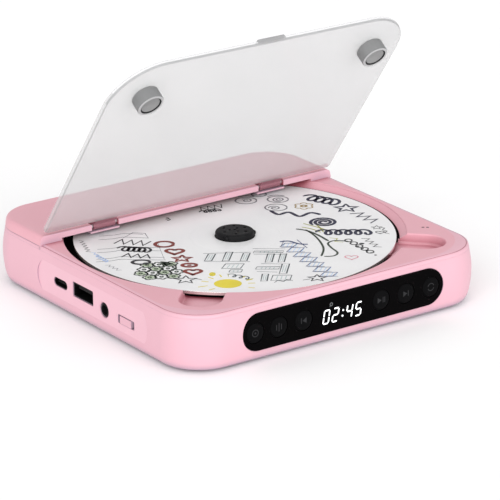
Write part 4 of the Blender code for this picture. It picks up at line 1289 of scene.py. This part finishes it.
BLOCKS = (
    # centre, half width, half height, lean
    ((-9, -23.6), 1.3, 3.6, 0.7),
    ((-2.6, -22.6), 1.2, 4.6, 0.7),
    ((3.8, -23.4), 1.2, 4.0, 0.6),
    ((-0.6, -33), 3.4, 2.4, 0.7),
    ((0.4, -38), 2.2, 1.2, 0.3),
    ((12.4, -18.2), 5.4, 0.9, 0.2),
    ((12.8, -24.6), 1.2, 4.4, 0.5),
    ((17.4, -24.6), 1.1, 4.4, 0.5),
    ((12, -35.2), 4.2, 1.2, 0.3),
    ((18, -36), 1.3, 5.0, 0.6),
    ((10.8, -45), 1.1, 3.6, 0.3),
    ((16.8, -45.4), 3.4, 2.6, 0.4),
)


def block_sketches():
    """Outlined bricks and beams with pale fills in the front half."""
    fill = Ink("mist", 0.7)
    outline = Ink("slate", 0.5)
    for centre, half_u, half_v, lean in BLOCKS:
        fill.hatch(centre, half_u * 0.7, half_v * 0.7, max(2, round(half_u)), lean * 0.7)
        outline.box(centre, half_u, half_v, lean)
    outline.line((-11.5, -19.4), (6, -18.4)).line((-11, -27.6), (5.6, -28.4))
    outline.line((6.6, -14.6), (18.6, -15.2)).line((7, -20.6), (18.8, -21.2))
    outline.coil((-1.6, -42.2), (5.4, -45.8), 3, 2.8)
    outline.line((8, -38.8), (15.4, -39.6)).line((9.6, -30.6), (17.4, -31.2))
    outline.zigzag((14, -49.4), (20.6, -47.6), 4, 1.8)
    fill.print_on_disc("blocks_fill", 1)
    outline.print_on_disc("blocks_outline", 3)


def kite_tail():
    """A row of hatched kites in two blues, from the middle towards the right front."""
    hatching = Ink("pale_sky", 0.8)
    outline = Ink("blue", 0.5)
    for i in range(7):
        centre = (20 + 2.3 * i, -11 - 5.2 * i)
        hatching.hatch((centre[0] + 0.4, centre[1]), 3.1, 1.9, 4, 0.5)
        outline.box(centre, 2.4, 1.9 + 0.3 * (i % 2), 0.9)
        outline.line((centre[0] - 3, centre[1] - 2.6), (centre[0] + 3.4, centre[1] - 2.2))
    outline.wave((16.6, -7.4), (20, -6.8), (23.6, -9.8), (27, -10.4), width=0.95)
    outline.line((18.2, -6), (17, -12.5)).line((23, -5.4), (26.6, -14.4), width=0.8)
    hatching.print_on_disc("kites_hatching", 2)
    outline.print_on_disc("kites_outline", 4)


def stems():
    """Long dark green curves right of the middle, over yellow-green strokes."""
    under = Ink("olive", 0.6)
    under.wave((25.6, 12.6), (29.6, 9.4), (33.4, 6)).wave((25, 8.6), (28.6, 6.4), (32, 2.6))
    under.wave((29.5, 14), (31.5, 8.5), (33, 3)).zigzag((36, -3), (39, -9), 3, 2.2)
    under.print_on_disc("stems_under", 1)
    stem = Ink("moss", 1.0)
    stem.wave((22.8, 6.6), (27, 4.4), (31, -0.6), (34.6, -7))
    stem.wave((26.4, 5.6), (29.6, -1), (31.8, -9), (32.6, -16), (31.6, -23.2), width=0.8)
    hook = ((32.6, -23.6), (36.2, -23), (37.6, -19.6), (35.4, -14), (34.4, -9.4), (37, -6.6))
    stem.wave(*hook, (42, -7.6), width=0.8)
    stem.print_on_disc("stems_moss", 4)


def small_marks():
    """Fine scribbles along the right and the left edge."""
    black = Ink("black", 0.62)
    black.zigzag((48, -4), (52.8, -14.6), 7, 2.6).blot((46.8, -10.2), 1.0, 0.8)
    for i in range(5):
        black.loop((42 + 1.9 * i, -6.6 - 3.1 * i), 1.3, 1.5)
        black.blot((45.4 + 1.5 * i, -13 - 2.4 * i), 0.5, 0.5)
    black.print_on_disc("marks_right", 4)
    fine = Ink("black", 0.42)
    fine.star((53, 7.4), 2.2).heart((54, 2), 3.2).zigzag((54.8, 8), (56.8, 0), 5, 1.4)
    fine.zigzag((-57, -4), (-53.4, -17), 11, 1.6).coil((-25.8, 20), (-24.6, 17.2), 2, 1.4)
    fine.print_on_disc("marks_fine", 4)
    sky = Ink("sky", 0.4)
    sky.coil((-50.6, -20.6), (-46.2, -27.4), 5, 1.6).zigzag((-52, -17), (-50, -21), 4, 1.2)
    sky.print_on_disc("marks_sky", 3)
    grey = Ink("grey", 0.42)
    grey.zigzag((-46.4, -30.4), (-41.4, -36.6), 7, 1.6)
    fine_width = 0.34
    threads = ((2.4, -34), (-1.6, -32), (-12, -27), (-15.6, -27), (-22.6, -25.5), (-25.4, -25))
    for v, end in threads:
        start = ((-50.5, v - 2), (-45, v - 1), (-41.5, v + 0.6), (-37, v + 0.2))
        grey.wave(*start, (end, v - 0.6), width=fine_width)
    grey.line((-41.4, -2), (-38, 4), (-33.4, 3), (-32, -2.4))
    grey.line((-28.4, -8), (-25.6, -25.4), width=fine_width)
    grey.print_on_disc("marks_grey", 2)
    rose = Ink("rose", 0.5)
    rose.heart((42.6, -24.8), 4.8)
    rose.print_on_disc("heart_rose", 3)


def rings_and_flower():
    """Curled rings at the back and a small ochre flower."""
    grey = Ink("grey", 0.62)
    grey.loop((4.2, 39.2), 4.1, 3.7).spiral((4.4, 39.4), 2.3, 1.4).loop((9.2, 46.4), 2.9, 2.5)
    grey.loop((16.4, 40.4), 4.0, 3.6).spiral((16.8, 40.2), 2.6, 1.8).loop((15.6, 31), 4.2, 3.9)
    grey.spiral((15, 30.4), 2.4, 1.5).wave((1, 43.4), (4, 44.8), (7.4, 43.6))
    grey.wave((12.4, 43.6), (15, 45.4), (19, 44.6))
    grey.print_on_disc("rings_grey", 3)
    ochre = Ink("ochre", 0.5)
    ochre.flower((26.2, 32.4), 3.7, 6).loop((26.2, 32.4), 1.3, 1.2)
    ochre.print_on_disc("flower_ochre", 3)


def disc_artwork():
    dark_strokes()
    navy_strokes()
    brown_strokes()
    leaf_cluster()
    sun()
    block_sketches()
    kite_tail()
    stems()
    small_marks()
    rings_and_flower()


# ---------------------------------------------------------------- front panel

MARK_RAISED, MARK_SUNK = 0.02 * MM, 0.05 * MM


def front_panel():
    levels = stepped(((-0.3, 0), (-0.1, 0.08), (0, 0.3)), -HALF_SIDE) + [(0, PANEL_BACK)]
    panel = flared("panel_window", panel_outline, levels, "Y", "panel")
    through = mouth(-60 * MM, -HALF_SIDE, 0.1 * MM, -70 * MM)
    radius = BUTTON_RADIUS + BUTTON_GAP
    centres = [(button_x(name), PANEL_Z) for name in BUTTONS]
    cut(panel, merged("holes", [spun_cutter(radius, through, xz, "Y") for xz in centres]))
    finished(panel, "case", "gloss_black", "front_panel")


def button_x(name):
    return cad_middle(name).x


def button_cap(name):
    """A low domed cap with a collar behind the window and a stem."""
    profile = ((0.6, 0.0), (2.6, 0.02), (3.35, 0.06), (3.65, 0.16), (3.75, 0.34), (3.75, 1.6))
    profile += ((4.2, 1.6), (4.2, 2.2), (1.2, 2.2), (1.2, 5.6))
    cap = turned(f"cap_{name}", profile, "button", steps=56)
    place = Matrix.Translation((button_x(name), -HALF_SIDE, PANEL_Z))
    finished(moved(cap, Matrix.Rotation(-pi / 2, 4, "X"), place), name, "gloss_black", name)


def mark(name, outlines, body, finish):
    """Flat printed shapes on the front, from (x, z) outlines."""
    levels = straight(-HALF_SIDE - MARK_RAISED, -HALF_SIDE + MARK_SUNK)
    pieces = [prism(outline, levels, "Y") for outline in outlines]
    placed(merged(name, pieces, finish), body, "gloss_black")


def triangle(x, z, size, way=1):
    back, tip = x - way * size / 2, x + way * size / 2
    return [(back, z - size * 0.6), (tip, z), (back, z + size * 0.6)]


def bar(x, z, half_x, half_z):
    return rectangle(x - half_x, x + half_x, z - half_z, z + half_z)


FULL_RING = 1.99 * pi  # just short of closed, as an outline has to be


def arc_band(x, z, radius, half, start, stop, steps=12):
    outer = arc((x, z), radius + half, start, stop - start, steps)
    inner = arc((x, z), radius - half, start, stop - start, steps)
    return outer + inner[::-1]


def button_marks():
    """Dim generic symbols: a ring, level bars, skip, play and repeat."""
    unit, thin, z = 1.05 * MM, 0.16 * MM, PANEL_Z

    def ring(x, radius, start, stop, steps=12):
        return arc_band(x, z, radius * unit, thin, start, stop, steps)

    def upright(x, u, height=1.0):
        return bar(x + u * unit, z, thin, unit * height)

    def arrow(x, u, way=1):
        return triangle(x + u * unit, z, 1.7 * unit, way)

    symbols = {
        "mode_button": lambda x: [ring(x, 1.2, 0, FULL_RING, 24), circle(0.4 * MM, (x, z), 12)],
        "equaliser_button": lambda x: [upright(x, i, 1.5 - 0.5 * abs(i)) for i in (-1, 0, 1)],
        "previous_button": lambda x: [arrow(x, 0.3, -1), upright(x, -1)],
        "play_button": lambda x: [arrow(x, -0.7), upright(x, 0.8), upright(x, 1.5)],
        "next_button": lambda x: [arrow(x, -0.3), upright(x, 1)],
        "repeat_button": lambda x: [ring(x, 1.3, 0.3, 2.9), ring(x, 1.3, 3.5, 6.0)],
    }
    for name, symbol in symbols.items():
        mark(f"mark_{name}", symbol(button_x(name)), name, "icon")


# A figure's seven strokes, clockwise from the top and then the middle one, and the lit ones
STROKE_ENDS = {
    **{"a": ((-1, 1), (1, 1)), "b": ((1, 1), (1, 0)), "c": ((1, 0), (1, -1))},
    **{"d": ((1, -1), (-1, -1)), "e": ((-1, -1), (-1, 0)), "f": ((-1, 0), (-1, 1))},
    "g": ((-1, 0), (1, 0)),
}
LIT_STROKES = {"0": "abcdef", "2": "abged", "4": "fgbc", "5": "afgcd"}
DIGIT_SLANT = 0.17
DIGIT_HALF = (1.15 * MM, 2.45 * MM)
DIGIT_STROKE = 0.25 * MM
DIGIT_GAP = 0.22 * MM  # between a stroke's end and the figure's corner
DIGIT_MIDDLE = 11.2 * MM


def slanted(x, u, v):
    return (x + u + DIGIT_SLANT * v, DIGIT_MIDDLE + v)


def digit(x, figure):
    """The lit strokes of one figure, each a thin six-sided bar."""
    bars = []
    for stroke in LIT_STROKES[figure]:
        start, end = [
            Vector((DIGIT_HALF[0] * u, DIGIT_HALF[1] * v)) for u, v in STROKE_ENDS[stroke]
        ]
        step = (end - start).normalized()
        side = Vector((-step.y, step.x)) * DIGIT_STROKE
        start, end = start + step * DIGIT_GAP, end - step * DIGIT_GAP
        corner = step * DIGIT_STROKE
        points = (start - 0.4 * corner, start + 0.6 * corner + side, end - 0.6 * corner + side)
        points += (end + 0.4 * corner, end - 0.6 * corner - side, start + 0.6 * corner - side)
        bars.append([slanted(x, *point) for point in points])
    return bars


def clock():
    """The lit clock figures behind the window's face and a small dim status ring."""
    strokes = []
    for x, figure in ((-7.45, "0"), (-3.45, "2"), (2.75, "4"), (6.75, "5")):
        strokes += digit(x * MM, figure)
    for v in (-1.05, 1.0):
        centre = slanted(-0.2 * MM, 0, v * MM)
        strokes.append(circle(0.34 * MM, centre, 14))
    mark("clock_figures", strokes, "case", "digit")
    ring = arc_band(-5.3 * MM, 15.6 * MM, 0.55 * MM, 0.15 * MM, 0, FULL_RING, 20)
    mark("status_ring", [ring, bar(-5.9 * MM, 14.9 * MM, 0.2 * MM, 0.12 * MM)], "case", "dim_mark")


# ---------------------------------------------------------------- sockets and switch


def socket_shell(name, outline, depth):
    """A thin metal shell open to the left, from its outline at each growth."""
    lead = 0.08 * MM
    wall = 0.25 * MM
    front = PORT_FACE + 0.3 * MM
    levels = [(-lead, front), (0, front + lead), (0, front + depth)]
    shell = flared(name, outline, levels, "X", "port_steel")
    hollow = mouth(front + depth - 1 * MM, front, lead, PORT_WALL[1])
    return cut(shell, flared("hollow", lambda grow: outline(grow - wall), hollow, "X"))


def socket_tongue(name, centre, half_y, half_z, depths):
    """The black blade inside a socket, chamfered at its front."""
    front, back = depths
    tip = 0.12 * MM
    levels = [(-tip, front), (0, front + 1.5 * tip), (0, back)]
    tongue = flared(name, growing(half_y, half_z, tip, centre), levels, "X", "black")
    finished(tongue, "case", "black_plastic")


def contact_row(name, middle, count, pitch, half_width, z, front):
    """Thin gold contacts side by side on a socket's tongue."""
    length, half_thickness = 4.5 * MM, 0.03 * MM
    pieces = []
    for i in range(count):
        y = middle + (i - (count - 1) / 2) * pitch
        outline = rectangle(front, front + length, y - half_width, y + half_width)
        pieces.append(prism(outline, straight(z - half_thickness, z + half_thickness)))
    placed(merged(name, pieces, "contact"), "case", "steel")


def usb_c_socket():
    depth = 7.2 * MM
    shell = socket_shell("usb_c_shell", lambda grow: usb_c_outline(1.5 * MM + grow), depth)
    finished(shell, "case", "steel", "usb_c_port")
    socket_tongue("usb_c_tongue", USB_C, 3.2 * MM, 0.35 * MM, (-65.9 * MM, -60 * MM))
    top = USB_C[1] + 0.36 * MM
    contact_row("usb_c_contacts", USB_C[0], 6, 0.5 * MM, 0.12 * MM, top, -65.4 * MM)


def usb_a_socket():
    depth = 13.7 * MM
    shell = socket_shell("usb_a_shell", growing(6.4 * MM, 2.5 * MM, 0.4 * MM, USB_A), depth)
    finished(shell, "case", "steel", "usb_a_port")
    tongue = (USB_A[0], USB_A[1] + 0.95 * MM)
    socket_tongue("usb_a_tongue", tongue, 5 * MM, 0.65 * MM, (-65.5 * MM, -53.5 * MM))
    bottom = USB_A[1] + 0.28 * MM
    contact_row("usb_a_contacts", USB_A[0], 4, 2.3 * MM, 0.5 * MM, bottom, -64.6 * MM)


def headphone_socket():
    """A round nose in front of a block, with the plug's bore."""
    face, back = -66.7 * MM, -53 * MM
    lead = 0.2 * MM
    nose = spun_cutter(2.4 * MM, [(-lead, face), (0, face + lead), (0, back)], JACK, "X")
    nose.name = "jack_nose"
    nose.data.materials.append(FINISH["black"])
    block_levels = straight(-64.8 * MM, -54 * MM)
    join(nose, flared("block", growing(3 * MM, 2.6 * MM, 0.4 * MM, JACK), block_levels, "X"))
    cut(nose, spun_cutter(1.8 * MM, mouth(-55 * MM, face, lead, PORT_WALL[1]), JACK, "X"))
    finished(nose, "case", "black_plastic", "headphone_jack")


def knob():
    """The switch's knob, soft at its edges, with its stem."""
    low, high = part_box("switch_knob")
    levels = stepped(((-0.18, 0), (-0.05, 0.05), (0, 0.2)), low.x) + [(0, -65.3 * MM)]
    outline = growing((high.y - low.y) / 2, 1.4 * MM, 0.3 * MM, SWITCH)
    cap = flared("slide_knob", outline, levels, "X", "pink")
    stem_levels = straight(-65.8 * MM, -62 * MM)
    stem = flared("stem", growing(1.6 * MM, 0.7 * MM, 0.1 * MM, SWITCH), stem_levels, "X")
    finished(join(cap, stem), "switch_knob", "pink_plastic", "switch_knob")


# ---------------------------------------------------------------- underside

FOOT_PROFILE = (
    *((2.4, 0.35), (2.7, 0.12), (3.1, 0.02), (4.0, 0.0)),
    *((4.6, 0.12), (4.95, 0.5), (5.0, 0.8), (5.0, 1.5)),
)


def feet():
    for i in range(1, 5):
        node = f"rubber_foot_{i}"
        foot = turned(f"foot_{i}", FOOT_PROFILE, "rubber", steps=48)
        place = Matrix.Translation((*cad_middle(node).xy, 0))
        finished(moved(foot, place), "case", "black_rubber", node)


# ---------------------------------------------------------------- CAD nodes that stay

KEPT = {
    "steel": (
        "case_screw_1 case_screw_2 case_screw_3 case_screw_4 hinge_pin_left hinge_pin_right "
        "keeper_plate_left keeper_plate_right slide_switch speaker_frame_left speaker_frame_right "
        "mechanism_chassis guide_rod_front guide_rod_rear feed_screw sled_motor spindle_motor"
    ),
    "rubber": "rubber_damper_1 rubber_damper_2 rubber_damper_3",
    "board": "display_board main_board",
    "display": "clock_display",
    "battery": "battery",
    "die_cast": "pickup_sled",
    "lens": "objective_lens",
    "cone": "speaker_cone_left speaker_cone_right",
}


def finish_kept_nodes():
    for finish, names in KEPT.items():
        for name in names.split():
            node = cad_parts[name]
            node.data.materials.clear()
            node.data.materials.append(FINISH[finish])


# ---------------------------------------------------------------- stage

CAMERA_PLACE = (-0.67313, -0.97160, 0.44483)
CAMERA_AZIMUTH, CAMERA_ELEVATION, CAMERA_ROLL = 34.986, 19.976, 0.490  # degrees
CAMERA_LENS = 243.54  # millimetres


def backdrop():
    """A pale floor, large enough to fill the view."""
    shape = bmesh.new()
    bmesh.ops.create_grid(shape, x_segments=1, y_segments=1, size=6)
    finish = Finish("pale_floor", Roughness=0.9, Specular_IOR_Level=0.1)
    tone = finish.between(finish.noise(0.2), (0.98, 0.98, 0.985), (1.0, 1.0, 1.0))
    floor = object_from("floor", shape)
    floor.data.materials.append(finish.surface(Base_Color=tone))


def soft_sun(name, azimuth, elevation, strength, spread):
    """Even light from one side, as from a large softbox; azimuth 0 shines from the front."""
    lamp = bpy.data.lights.new(name, "SUN")
    lamp.energy = strength
    lamp.angle = radians(spread)
    obj = bpy.data.objects.new(name, lamp)
    bpy.context.scene.collection.objects.link(obj)
    turn = Matrix.Rotation(radians(azimuth), 4, "Z")
    obj.matrix_world = turn @ Matrix.Rotation(radians(90 - elevation), 4, "X")


def lighting():
    world = bpy.data.worlds.new("studio")
    world.use_nodes = True
    background = world.node_tree.nodes["Background"]
    background.inputs["Color"].default_value = (1, 1, 1, 1)
    background.inputs["Strength"].default_value = 0.76
    bpy.context.scene.world = world
    soft_sun("key", -50, 25, 1.35, 45)
    soft_sun("fill", 5, 20, 1.0, 45)
    bpy.context.scene.view_settings.view_transform = "Standard"


def camera():
    """Seen from the player's front left, a little above, as the photograph is."""
    lens = bpy.data.cameras.new("view")
    lens.sensor_width = 36
    lens.lens = CAMERA_LENS
    obj = bpy.data.objects.new("view", lens)
    bpy.context.scene.collection.objects.link(obj)
    turn = Matrix.Rotation(radians(-CAMERA_AZIMUTH), 4, "Z")
    tilt = Matrix.Rotation(radians(90 - CAMERA_ELEVATION), 4, "X")
    roll = Matrix.Rotation(radians(-CAMERA_ROLL), 4, "Z")
    obj.matrix_world = Matrix.Translation(CAMERA_PLACE) @ turn @ tilt @ roll
    bpy.context.scene.camera = obj


# ---------------------------------------------------------------- assembly


def build():
    bottom_case()
    top_cover()
    indicator_lights()
    disc_tray()
    lid_sheet()
    lid_post("left", -1)
    lid_post("right", 1)
    disc()
    hub()
    chuck_balls()
    disc_artwork()
    front_panel()
    for name in BUTTONS:
        button_cap(name)
    button_marks()
    clock()
    usb_c_socket()
    usb_a_socket()
    headphone_socket()
    knob()
    feet()
    finish_kept_nodes()
    backdrop()
    lighting()
    camera()


build()
bpy.context.view_layer.update()
